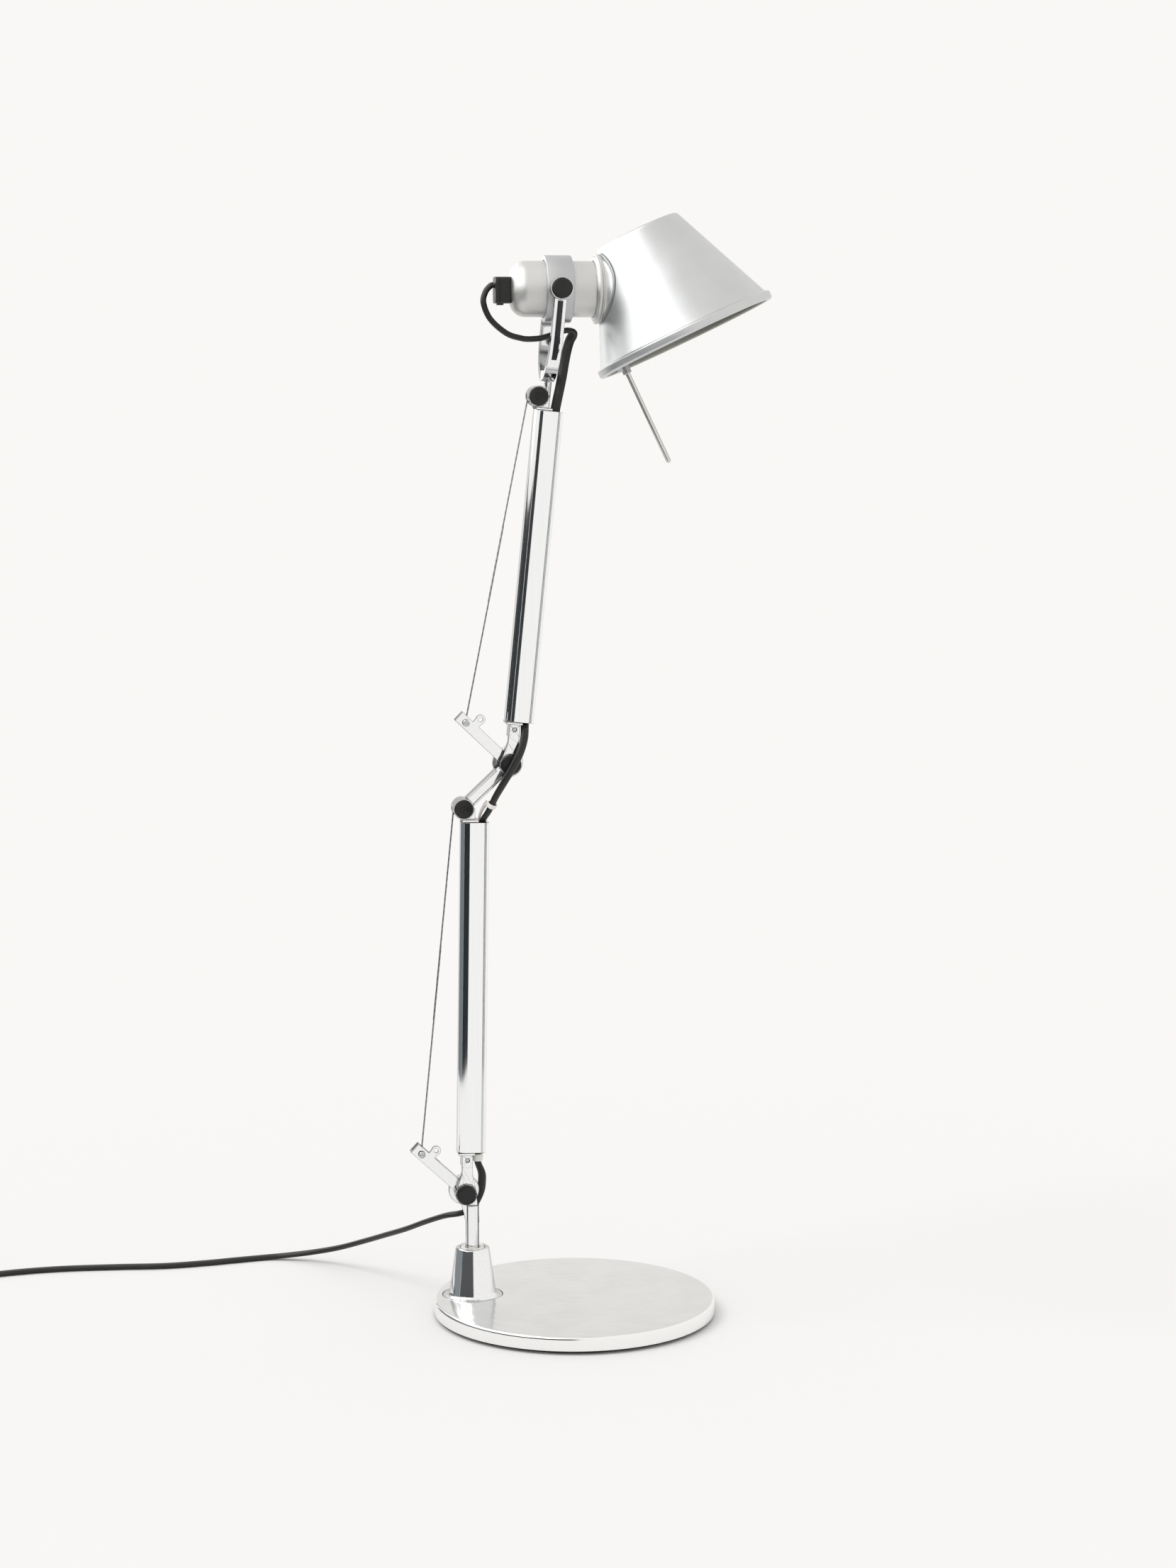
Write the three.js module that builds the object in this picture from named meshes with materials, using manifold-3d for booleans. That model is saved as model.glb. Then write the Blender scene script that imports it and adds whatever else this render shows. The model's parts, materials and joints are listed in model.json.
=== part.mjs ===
// Architect desk lamp: a weighted disc base, two spring-balanced tube arms and a turning reflector head.
// Millimetres, +Z up. The origin is the centre of the underside of the base.
// The arms lie in one upright plane: X runs from the stem towards the lamp head, -Y is the front.
import * as THREE from 'three';
import Module from 'manifold-3d';
import { mergeVertices } from 'three/addons/utils/BufferGeometryUtils.js';

// ---------- driving dimensions ----------
const GAP = 0.3; // clearance between pieces that touch
const DEG = Math.PI / 180;

const BASE = { radius: 85, height: 10.8, pad: 1.9, lift: 2.2, wall: 1.3, round: 2 };
const STEM_AXIS = { x: -60.6, y: 13.6 }; // where the cone socket stands on the base
const CONE = { flange: 18.2, foot: 14, top: 9.6, bore: 7.5, height: 40.5 };
const STEM_RADIUS = 4.1;

const PIVOT = { x: -4.4, z: 74.7 }; // lower arm pivot, measured from the stem axis
const EYE = 6.6; // radius of every pivot eye
const FRONT = { y0: -7.6, y1: -2.2 }; // depth of the moving eye
const REAR = { y0: -1.9, y1: 4.3 }; // depth of the fixed eye and its spring lever
const LEVER = { reach: 36, angle: 137 * DEG, width: 6.9, tip: 5.9, slotStart: 24 };
const SLOT = { y0: 0, y1: 2.4 };

const TUBE = { width: 16.8, depth: 15, wall: 1.3, offset: 3.1, start: 25.6 };
const LOWER = { length: 201, lean: 0.88 * DEG };
const UPPER = { length: 184.6, lean: 5.63 * DEG };
const LINK = { x: 23.7, above: 34.7 }; // mid pivot, from the top of the lower tube
const PULLEY = { x: -3.85, above: 8, radius: 4, wire: 5.1, boss: 6.3 };
const PULLEY_SLOT = { y0: -0.6, y1: 3.6 };

const WIRE = 0.5; // radius of the balance wire
const STRAND_Y = 1.2; // depth of the strand on the lever
const TAIL_Y = 2.5; // depth of the strand on the pulley
const SPRING = { radius: 2.5, wire: 0.6, turns: 8, pitch: 9 };

const FORK = { x: 1, bottom: 227.5, pivot: 281.4, inner: 20.3, outer: 23.9, width: 7.2, eye: 6.8 };
const HOUSING = { radius: 16.35, rear: -27.3, front: 24, wall: 1.15, dome: 9 };
const RING = { inner: 16.75, outer: 19.65, x0: -7.5, x1: 8.5 };
const COLLAR = { radius: 20.4, x0: 21.9, x1: 32, bore: 16.7 };
const SHADE = { x: 76.8, z: -27.1, tilt: 24.6 * DEG, spin: -6.5 * DEG, top: 26.9, rim: 54.9, height: 67.5, wall: 1.2, bead: 2.1 };
const ROD = { x: -41, radius: 1.4, tip: -63.6, root: 17 };
const CORD = 2.1; // radius of the cord where the lamp holds it
const FLAT_CORD = { width: 5, thick: 3.4 };
const COIL = { x: -436, y: 120, radius: 29, across: 15, tall: 12 };

// ---------- materials ----------
const finish = (color, roughness, metalness) =>
  new THREE.MeshStandardMaterial({ color, roughness, metalness });
const POLISHED = finish(0xe6e7e8, 0.12, 1);
const SATIN = finish(0xcfcfcd, 0.42, 1);
const STEEL = finish(0xb8babd, 0.3, 1);
const IRON = finish(0x55565a, 0.7, 1);
const BLACK = finish(0x2e2e2e, 0.45, 0);
const CORD_BLACK = finish(0x343434, 0.5, 0);
const CLEAR = finish(0xdcdcd6, 0.35, 0);
const FELT = finish(0x2b2b2b, 0.95, 0);
const GLASS = finish(0xf4f4f0, 0.25, 0);

// ---------- solids ----------
const wasm = await Module();
wasm.setup();

function solid(geometry) {
  const bare = geometry.clone();
  bare.deleteAttribute('normal');
  bare.deleteAttribute('uv');
  const merged = mergeVertices(bare, 1e-4);
  return new wasm.Manifold(new wasm.Mesh({
    numProp: 3,
    vertProperties: new Float32Array(merged.attributes.position.array),
    triVerts: new Uint32Array(merged.index.array),
  }));
}

function geometryOf(manifold) {
  const mesh = manifold.getMesh();
  const geometry = new THREE.BufferGeometry();
  geometry.setAttribute('position', new THREE.BufferAttribute(new Float32Array(mesh.vertProperties), 3));
  geometry.setIndex(new THREE.BufferAttribute(new Uint32Array(mesh.triVerts), 1));
  geometry.computeVertexNormals();
  return geometry;
}

const join = (...geometries) => geometries.map(solid).reduce((a, b) => a.add(b));
const cut = (body, ...tools) => tools.map(solid).reduce((a, b) => a.subtract(b), body);

// A cylinder along Y, as every pivot axis is.
const drum = (x, z, radius, y0, y1, sides = 22) =>
  new THREE.CylinderGeometry(radius, radius, y1 - y0, sides).translate(x, (y0 + y1) / 2, z);

// An upright cylinder.
const post = (x, y, radius, z0, z1, sides = 24) =>
  new THREE.CylinderGeometry(radius, radius, z1 - z0, sides).rotateX(Math.PI / 2).translate(x, y, (z0 + z1) / 2);

const block = (x0, x1, y0, y1, z0, z1) =>
  new THREE.BoxGeometry(x1 - x0, y1 - y0, z1 - z0).translate((x0 + x1) / 2, (y0 + y1) / 2, (z0 + z1) / 2);

// A straight slab in the arm plane, from one point to another.
function bar(from, to, width, y0, y1) {
  const length = Math.hypot(to.x - from.x, to.z - from.z);
  const angle = Math.atan2(to.z - from.z, to.x - from.x);
  return new THREE.BoxGeometry(length, y1 - y0, width)
    .rotateY(-angle)
    .translate((from.x + to.x) / 2, (y0 + y1) / 2, (from.z + to.z) / 2);
}

// A flat outline in the arm plane, given thickness along Y.
function plate(points, y0, y1) {
  const shape = new THREE.Shape(points.map(([x, z]) => new THREE.Vector2(x, z)));
  return new THREE.ExtrudeGeometry(shape, { depth: y1 - y0, bevelEnabled: false })
    .rotateX(Math.PI / 2)
    .translate(0, y1, 0);
}

// A turned piece about Z: the profile is a list of [radius, height] going up its outside.
function turned(profile, sides = 28) {
  const points = profile.map(([radius, height]) => new THREE.Vector2(radius, height));
  return new THREE.LatheGeometry(points, sides).rotateX(Math.PI / 2);
}

// The same about X, for the head.
const turnedX = (profile, sides = 28) => turned(profile, sides).rotateY(Math.PI / 2);

// Points of a quarter or part circle in a profile.
function arc(cx, cy, radius, from, to, steps = 5) {
  return Array.from({ length: steps + 1 }, (_, i) => {
    const angle = (from + (to - from) * i / steps) * DEG;
    return [cx + radius * Math.cos(angle), cy + radius * Math.sin(angle)];
  });
}

// A section swept along a smooth curve through the given points.
function swept(points, width, thick, sides, steps) {
  const section = new THREE.Shape(Array.from({ length: sides }, (_, i) => {
    const angle = 2 * Math.PI * (i + 0.5) / sides;
    return new THREE.Vector2(thick / 2 * Math.cos(angle), width / 2 * Math.sin(angle));
  }));
  const curve = new THREE.CatmullRomCurve3(points.map((p) => new THREE.Vector3(...p)));
  return new THREE.ExtrudeGeometry(section, { extrudePath: curve, steps, bevelEnabled: false });
}

// ---------- scene graph ----------
const lamp = new THREE.Group();
const armPlane = new THREE.Group();
armPlane.position.set(STEM_AXIS.x, STEM_AXIS.y, 0);
lamp.add(armPlane);

function place(group, name, shape, material) {
  const geometry = shape instanceof THREE.BufferGeometry ? shape : geometryOf(shape);
  const mesh = new THREE.Mesh(geometry, material);
  mesh.name = name;
  group.add(mesh);
}

// ---------- base ----------
function makeBase() {
  const { radius, height, pad, lift, wall, round } = BASE;
  const { x, y } = STEM_AXIS;
  const clear = radius - wall - GAP;
  const under = height - wall - GAP;
  place(lamp, 'base_pad', post(0, 0, radius - 5, 0, pad, 44), FELT);
  const weight = cut(solid(post(0, 0, clear, lift, under, 44)),
    post(x, y, 3.5, lift - 1, under + 1), post(x, y, 6, lift - 1, lift + 4.3));
  place(lamp, 'base_weight', weight, IRON);
  const cover = turned([
    [radius - wall, lift], [radius, lift],
    ...arc(radius - round, height - round, round, 0, 90),
    [0, height], [0, height - wall], [radius - wall, height - wall], [radius - wall, lift],
  ], 52);
  place(lamp, 'base_cover', cut(solid(cover), post(x, y, CONE.flange + GAP, lift, height + 1, 40)), POLISHED);
  const bolt = join(post(x, y, 5, lift + 0.2, lift + 4), post(x, y, 3, lift + 3, under + 6));
  place(lamp, 'socket_bolt', cut(bolt, post(x, y, 2.5, lift, lift + 2.2, 6)), STEEL);

  const seat = under + GAP;
  const cone = turned([
    [3.3, seat], [CONE.flange, seat], [CONE.flange, height],
    ...arc(CONE.foot + 3, height + 3, 3, 270, 190),
    [CONE.top + 0.6, CONE.height - 1], [CONE.top, CONE.height],
    [CONE.bore, CONE.height], [CONE.bore, 17.3], [3.3, 17.3], [3.3, seat],
  ]).translate(x, y, 0);
  place(lamp, 'cone_socket', cone, POLISHED);
  const bush = turned([
    [STEM_RADIUS + GAP, 17.6], [CONE.bore - GAP, 17.6], [CONE.bore - GAP, CONE.height],
    [STEM_RADIUS + GAP, CONE.height], [STEM_RADIUS + GAP, 17.6],
  ], 32).translate(x, y, 0);
  place(lamp, 'swivel_bush', bush, CLEAR);
}

// ---------- spring lever: a pivot eye with a slotted lever, a lug and its holes ----------
const along = (s, n = 0) => ({
  x: s * Math.cos(LEVER.angle) + n * Math.sin(LEVER.angle),
  z: s * Math.sin(LEVER.angle) - n * Math.cos(LEVER.angle),
});
const CLAMP = along(LEVER.reach);

function springLever(at) {
  const move = (geometry) => geometry.translate(at.x, 0, at.z);
  const lug = along(31, 7.4);
  const lugRoot = along(31, 2);
  const body = join(
    move(drum(0, 0, EYE, REAR.y0, REAR.y1)),
    move(bar({ x: 0, z: 0 }, along(LEVER.reach + LEVER.tip), LEVER.width, REAR.y0, REAR.y1)),
    move(drum(lug.x, lug.z, 2.9, REAR.y0, REAR.y0 + 1.6, 20)),
    move(bar(lugRoot, lug, 5, REAR.y0, REAR.y0 + 1.6)));
  return cut(body,
    move(bar(along(LEVER.slotStart), along(LEVER.reach + LEVER.tip + 1), LEVER.width + 2, SLOT.y0, SLOT.y1)),
    move(drum(CLAMP.x, CLAMP.z, 1.9, REAR.y0 - 1, REAR.y1 + 1, 20)),
    move(drum(lug.x, lug.z, 1.3, REAR.y0 - 1, REAR.y0 + 2, 20)),
    move(drum(0, 0, 2.5, REAR.y0 - 1, REAR.y1 + 1, 20)));
}

// The fixed pieces at a pivot: its axle, the rear knob and the pin that clamps the wire.
function pivotFittings(group, at, prefix) {
  const move = (geometry) => geometry.translate(at.x, 0, at.z);
  place(group, `${prefix}_pivot_axle`, move(drum(0, 0, 2.2, FRONT.y0 + 1.1, REAR.y1 + 0.1, 20)), STEEL);
  const knob = turned([
    [0, -8.7], [8.4, -8.7], [9.4, -8], [9.4, -5.2], [8.9, -4.7], [0, -4.7],
  ], 32).rotateX(Math.PI / 2);
  place(group, `${prefix}_tension_knob`, move(knob), POLISHED);
  const pin = join(
    drum(CLAMP.x, CLAMP.z, 2.1, REAR.y0 - 1.7, REAR.y0 - GAP, 20),
    drum(CLAMP.x, CLAMP.z, 1.6, REAR.y0 - 1, REAR.y1 + 0.2, 20));
  place(group, `${prefix}_wire_pin`, move(geometryOf(pin)), STEEL);
}

// ---------- stem ----------
function makeStem() {
  const column = post(0, 0, STEM_RADIUS, 17.9, PIVOT.z - 8.2, 32);
  const blade = plate([[-STEM_RADIUS, 56], [STEM_RADIUS, 56], [2.2, PIVOT.z], [-8.5, PIVOT.z]], REAR.y0, REAR.y1 - 0.4);
  const eyeHole = drum(PIVOT.x, PIVOT.z, 2.5, REAR.y0 - 1, REAR.y1 + 1, 20);
  const body = cut(join(column, blade), eyeHole).add(springLever(PIVOT));
  place(armPlane, 'stem', body, POLISHED);
  pivotFittings(armPlane, PIVOT, 'lower');
}

// ---------- arms ----------
function tubeOutline(inset) {
  const x0 = TUBE.offset - TUBE.width / 2 + inset;
  const x1 = TUBE.offset + TUBE.width / 2 - inset;
  const half = TUBE.depth / 2 - inset;
  const big = 5.5 - inset;
  const small = Math.max(1.6 - inset, 0.3);
  const groove = inset > 0 ? [] : [[x1 - 2.6, 0.4], [x1 - 2.1, 0.4]];
  const front = groove.map(([x, deep]) => [x, -half + deep]);
  const back = groove.map(([x, deep]) => [x, half - deep]).reverse();
  return [
    ...arc(x0 + big, half - big, big, 90, 180, 4), ...arc(x0 + big, -half + big, big, 180, 270, 4),
    ...(inset > 0 ? [] : [[x1 - 2.8, -half]]), ...front, ...(inset > 0 ? [] : [[x1 - 1.9, -half]]),
    ...arc(x1 - small, -half + small, small, 270, 360, 3), ...arc(x1 - small, half - small, small, 0, 90, 3),
    ...(inset > 0 ? [] : [[x1 - 1.9, half]]), ...back, ...(inset > 0 ? [] : [[x1 - 2.8, half]]),
  ].map(([x, y]) => new THREE.Vector2(x, y));
}

function tube(length) {
  const shape = new THREE.Shape(tubeOutline(0));
  shape.holes.push(new THREE.Path(tubeOutline(TUBE.wall).reverse()));
  return new THREE.ExtrudeGeometry(shape, { depth: length, bevelEnabled: false }).translate(0, 0, TUBE.start);
}

// The end plate and plug that carry a casting in the tube's mouth; the cord side stays open.
function tubeEnd(z0, z1, plugTo) {
  return join(block(-4.8, 5, -7, 7, z0, z1), post(0.6, 0, 4.2, Math.min(z0, plugTo), Math.max(z1, plugTo)));
}

function foot() {
  const eye = drum(0, 0, EYE, FRONT.y0, FRONT.y1);
  const flare = plate([[-5.9, 2.5], [5.9, 2.5], [3.7, 13], [3.7, 19], [-2.7, 19], [-2.7, 13]], FRONT.y0 + 0.8, FRONT.y1);
  const neck = block(-2.7, 3.7, FRONT.y0 + 0.8, 4, 16.5, TUBE.start - 1);
  const body = join(eye, flare, neck).add(tubeEnd(TUBE.start - 1.6, TUBE.start - GAP, TUBE.start + 12));
  return cut(body,
    drum(0, 0, 6.15, FRONT.y0 - 1, FRONT.y0 + 0.8),
    drum(0, 0, 2.5, FRONT.y0 - 1, FRONT.y1 + 1, 20),
    drum(0.5, 21, 1.3, FRONT.y0 - 1, FRONT.y0 + 3.2, 20));
}

// The casting at a tube's top: end plate, plug, pulley boss and its neck, with the pulley slot cut last.
function pulleyHead(top, extra, ...holes) {
  const qz = top + PULLEY.above;
  const { x, boss, wire } = PULLEY;
  const { y0, y1 } = PULLEY_SLOT;
  const body = join(drum(x, qz, boss, -6.5, 6.5, 32), block(-5.5, 3.3, -3.2, 5.4, top + 1, qz))
    .add(tubeEnd(top + GAP, top + 1.6, top - 12))
    .add(extra);
  return cut(body,
    drum(x, qz, wire + WIRE + GAP, y0, y1, 32),
    block(x - 8, x, y0, y1, qz - 8, qz + 0.5),
    drum(x, qz, 5.7, -7.5, -5.7),
    drum(x, qz, 1.9, -7, 7, 20),
    post(x + wire, TAIL_Y, 0.9, top - 14, qz, 16),
    ...holes);
}

function pulleyFittings(group, top, prefix) {
  const qz = top + PULLEY.above;
  const wheel = cut(solid(drum(PULLEY.x, qz, PULLEY.radius, PULLEY_SLOT.y0 + GAP, PULLEY_SLOT.y1 - GAP)),
    drum(PULLEY.x, qz, 1.9, -2, 5, 20));
  place(group, `${prefix}_pulley`, wheel, STEEL);
  place(group, `${prefix}_pulley_pin`, drum(PULLEY.x, qz, 1.6, -5.4, 6.3, 20), STEEL);
  const cap = cut(solid(drum(PULLEY.x, qz, 5.4, -7.1, -5.7 - GAP)), drum(PULLEY.x, qz, 1.5, -8, -6.4, 6));
  place(group, `${prefix}_pulley_cap`, cap, BLACK);
}

// A helical tension spring with straight ends, on the axis of the wire's hidden fall.
function spring(top) {
  const x = PULLEY.x + PULLEY.wire;
  const { radius, wire, turns, pitch } = SPRING;
  const upper = top - 30;
  const lower = upper - turns * pitch;
  const points = [[x, TAIL_Y, TUBE.start + 14], [x, TAIL_Y, lower - 10]];
  const perTurn = 6;
  for (let i = 0; i <= turns * perTurn; i += 1) {
    const angle = 2 * Math.PI * i / perTurn;
    points.push([x + radius * Math.cos(angle), TAIL_Y + radius * Math.sin(angle), lower + pitch * i / perTurn]);
  }
  points.push([x, TAIL_Y, upper + 7], [x, TAIL_Y, top - 20]);
  return swept(points, 2 * wire, 2 * wire, 5, turns * perTurn + 12);
}

// World position, in the arm plane, of a point given in an arm's own frame.
function armPoint(arm, pivot, x, z) {
  const { lean } = arm;
  return {
    x: pivot.x + x * Math.cos(lean) + z * Math.sin(lean),
    z: pivot.z + z * Math.cos(lean) - x * Math.sin(lean),
  };
}

// The balance wire in two strands: one hinged on the lever's pin, one running over the pulley.
// They lie side by side and slide past each other as the arm tilts.
function balanceWire(group, prefix, arm, pivot, leverAt) {
  const top = TUBE.start + arm.length;
  const q = armPoint(arm, pivot, PULLEY.x, top + PULLEY.above);
  const c = leverAt;
  const distance = Math.hypot(q.x - c.x, q.z - c.z);
  const heading = Math.atan2(q.z - c.z, q.x - c.x) + Math.asin(PULLEY.wire / distance);
  const run = Math.sqrt(distance ** 2 - PULLEY.wire ** 2);
  const along2 = (s) => ({ x: c.x + s * Math.cos(heading), z: c.z + s * Math.sin(heading) });
  const strandEnd = along2(0.6 * run);
  const eye = cut(join(
    drum(c.x, c.z, 3.1, STRAND_Y - 0.8, STRAND_Y + 0.8, 20),
    bar(along2(2.4), strandEnd, 2 * WIRE, STRAND_Y - WIRE, STRAND_Y + WIRE),
  ), drum(c.x, c.z, 1.9, -2, 4, 20));
  place(armPlane, `${prefix}_wire_strand`, eye, STEEL);

  const arcTo = heading + Math.PI / 2;
  const tail = [along2(0.6 * run - 45), along2(0.8 * run)].map((p) => [p.x, TAIL_Y, p.z]);
  const from = -arm.lean;
  for (let i = 0; i <= 10; i += 1) {
    const angle = arcTo + (from - arcTo) * i / 10;
    tail.push([q.x + PULLEY.wire * Math.cos(angle), TAIL_Y, q.z + PULLEY.wire * Math.sin(angle)]);
  }
  for (const z of [top - 2, top - 18]) {
    const p = armPoint(arm, pivot, PULLEY.x + PULLEY.wire, z);
    tail.push([p.x, TAIL_Y, p.z]);
  }
  place(armPlane, `${prefix}_wire_tail`, swept(tail, 2 * WIRE, 2 * WIRE, 6, 34), STEEL);
}

function armGroup(arm, pivot) {
  const group = new THREE.Group();
  group.position.set(pivot.x, 0, pivot.z);
  group.rotation.y = arm.lean;
  armPlane.add(group);
  return group;
}

function armPieces(group, prefix, arm) {
  place(group, `${prefix}_foot`, foot(), POLISHED);
  place(group, `${prefix}_pivot_cap`, drum(0, 0, 5.85, FRONT.y0 - 0.6, FRONT.y0 + 0.5, 32), BLACK);
  place(group, `${prefix}_grub_screw`, drum(0.5, 21, 1, FRONT.y0 + 1.2, FRONT.y0 + 2.9, 16), STEEL);
  place(group, `${prefix}_tube`, tube(arm.length), POLISHED);
  place(group, `${prefix}_spring`, spring(TUBE.start + arm.length), STEEL);
  pulleyFittings(group, TUBE.start + arm.length, prefix);
}

const MID = armPoint(LOWER, PIVOT, LINK.x, TUBE.start + LOWER.length + LINK.above);

function makeLowerArm() {
  const group = armGroup(LOWER, PIVOT);
  armPieces(group, 'lower', LOWER);
  const top = TUBE.start + LOWER.length;
  const mid = { x: LINK.x, z: top + LINK.above };
  const boss = { x: PULLEY.x, z: top + PULLEY.above };
  const span = Math.hypot(mid.x - boss.x, mid.z - boss.z);
  const step = (s, n) => ({
    x: boss.x + ((mid.x - boss.x) * s - (mid.z - boss.z) * n) / span,
    z: boss.z + ((mid.z - boss.z) * s + (mid.x - boss.x) * n) / span,
  });
  const ribs = [-1, 1].map((side) =>
    bar(step(6, side * 2.9), step(span - 8.5, side * 2.9), 1.1, REAR.y0 - 0.7, REAR.y0 + 0.5));
  const link = cut(join(bar(boss, mid, LEVER.width, REAR.y0, REAR.y1), ...ribs),
    drum(mid.x, mid.z, 2.5, REAR.y0 - 1, REAR.y1 + 1, 20));
  place(group, 'lower_head', pulleyHead(top, link.add(springLever(mid))), POLISHED);
  pivotFittings(group, mid, 'upper');
  const clip = turned([[CORD + GAP, 19.4], [3.3, 19.4], [3.3, 23.7], [CORD + GAP, 23.7], [CORD + GAP, 19.4]], 20)
    .translate(7.4, 0, 0);
  place(group, 'lower_cord_clip', clip, CLEAR);
}

function makeUpperArm() {
  const group = armGroup(UPPER, MID);
  armPieces(group, 'upper', UPPER);
  const top = TUBE.start + UPPER.length;
  const neck = solid(post(FORK.x, 0, 2.85, top + 1, FORK.bottom - GAP));
  const pinHole = post(FORK.x, 0, 1.9, FORK.bottom - 5.3, FORK.bottom + 1, 20);
  place(group, 'upper_head', pulleyHead(top, neck, pinHole), POLISHED);
}

// ---------- fork ----------
function makeFork() {
  const group = armGroup(UPPER, MID);
  const { bottom, pivot, inner, outer, width, eye, x } = FORK;
  const u = new THREE.Shape();
  u.moveTo(-outer, pivot);
  u.lineTo(-outer, bottom + 27);
  u.bezierCurveTo(-outer, bottom + 11, -13, bottom, 0, bottom);
  u.bezierCurveTo(13, bottom, outer, bottom + 11, outer, bottom + 27);
  u.lineTo(outer, pivot);
  u.lineTo(inner, pivot);
  u.lineTo(inner, bottom + 27.5);
  u.bezierCurveTo(inner, bottom + 14, 11, bottom + 4.6, 0, bottom + 4.6);
  u.bezierCurveTo(-11, bottom + 4.6, -inner, bottom + 14, -inner, bottom + 27.5);
  u.lineTo(-inner, pivot);
  u.closePath();
  const frame = new THREE.ExtrudeGeometry(u, { depth: width, bevelEnabled: false, curveSegments: 7 })
    .applyMatrix4(new THREE.Matrix4().makeBasis(
      new THREE.Vector3(0, 1, 0), new THREE.Vector3(0, 0, 1), new THREE.Vector3(1, 0, 0)))
    .translate(x - width / 2, 0, 0);
  const sides = [-1, 1];
  const spanY = (side, a, b) => [Math.min(side * a, side * b), Math.max(side * a, side * b)];
  const eyes = sides.map((side) => drum(x, pivot, eye, ...spanY(side, inner, outer + 1.6), 32));
  const holes = sides.flatMap((side) => [
    drum(x, pivot, 2.7, ...spanY(side, inner - 1, outer + 3), 20),
    drum(x, pivot, 6.1, ...spanY(side, outer + 0.2, outer + 3), 32),
    block(x - 1.3, x + 1.3, ...spanY(side, outer - 0.9, outer + 1), bottom + 28, pivot - 9),
  ]);
  const body = join(frame, post(x, 0, 4.1, bottom, bottom + 6), ...eyes);
  const pinHole = post(x, 0, 1.9, bottom - 1, bottom + 3, 20);
  place(group, 'fork', cut(body, pinHole, ...holes), POLISHED);
  place(group, 'fork_swivel_pin', post(x, 0, 1.6, bottom - 5, bottom + 2.7, 20), STEEL);
  for (const side of sides) {
    const name = side < 0 ? 'fork_cap_front' : 'fork_cap_rear';
    place(group, name, drum(x, pivot, 5.8, ...spanY(side, outer + 0.5, outer + 2.3), 32), BLACK);
  }
}

// ---------- head ----------
const HEAD = armPoint(UPPER, MID, FORK.x, FORK.pivot);

function shadeSolid(grow) {
  const { top, rim, height } = SHADE;
  const g = grow;
  return turned([[0, -3 - g], [rim + 3 + g, -3 - g], [rim + g, 2], [top + g, height - 2 + g], [0, height + g]], 44);
}

function shadeShell() {
  const { top, rim, height, wall, bead } = SHADE;
  return turned([
    [0, height - wall], [top - 3.6, height - wall], [top - wall - 0.1, height - 3.3],
    [rim - wall - 0.2, 1.8], ...arc(rim - 0.3, 0, bead, 150, 420, 6),
    ...arc(top - 3, height - 3, 3, 25, 90, 3), [0, height],
  ], 44);
}

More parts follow.
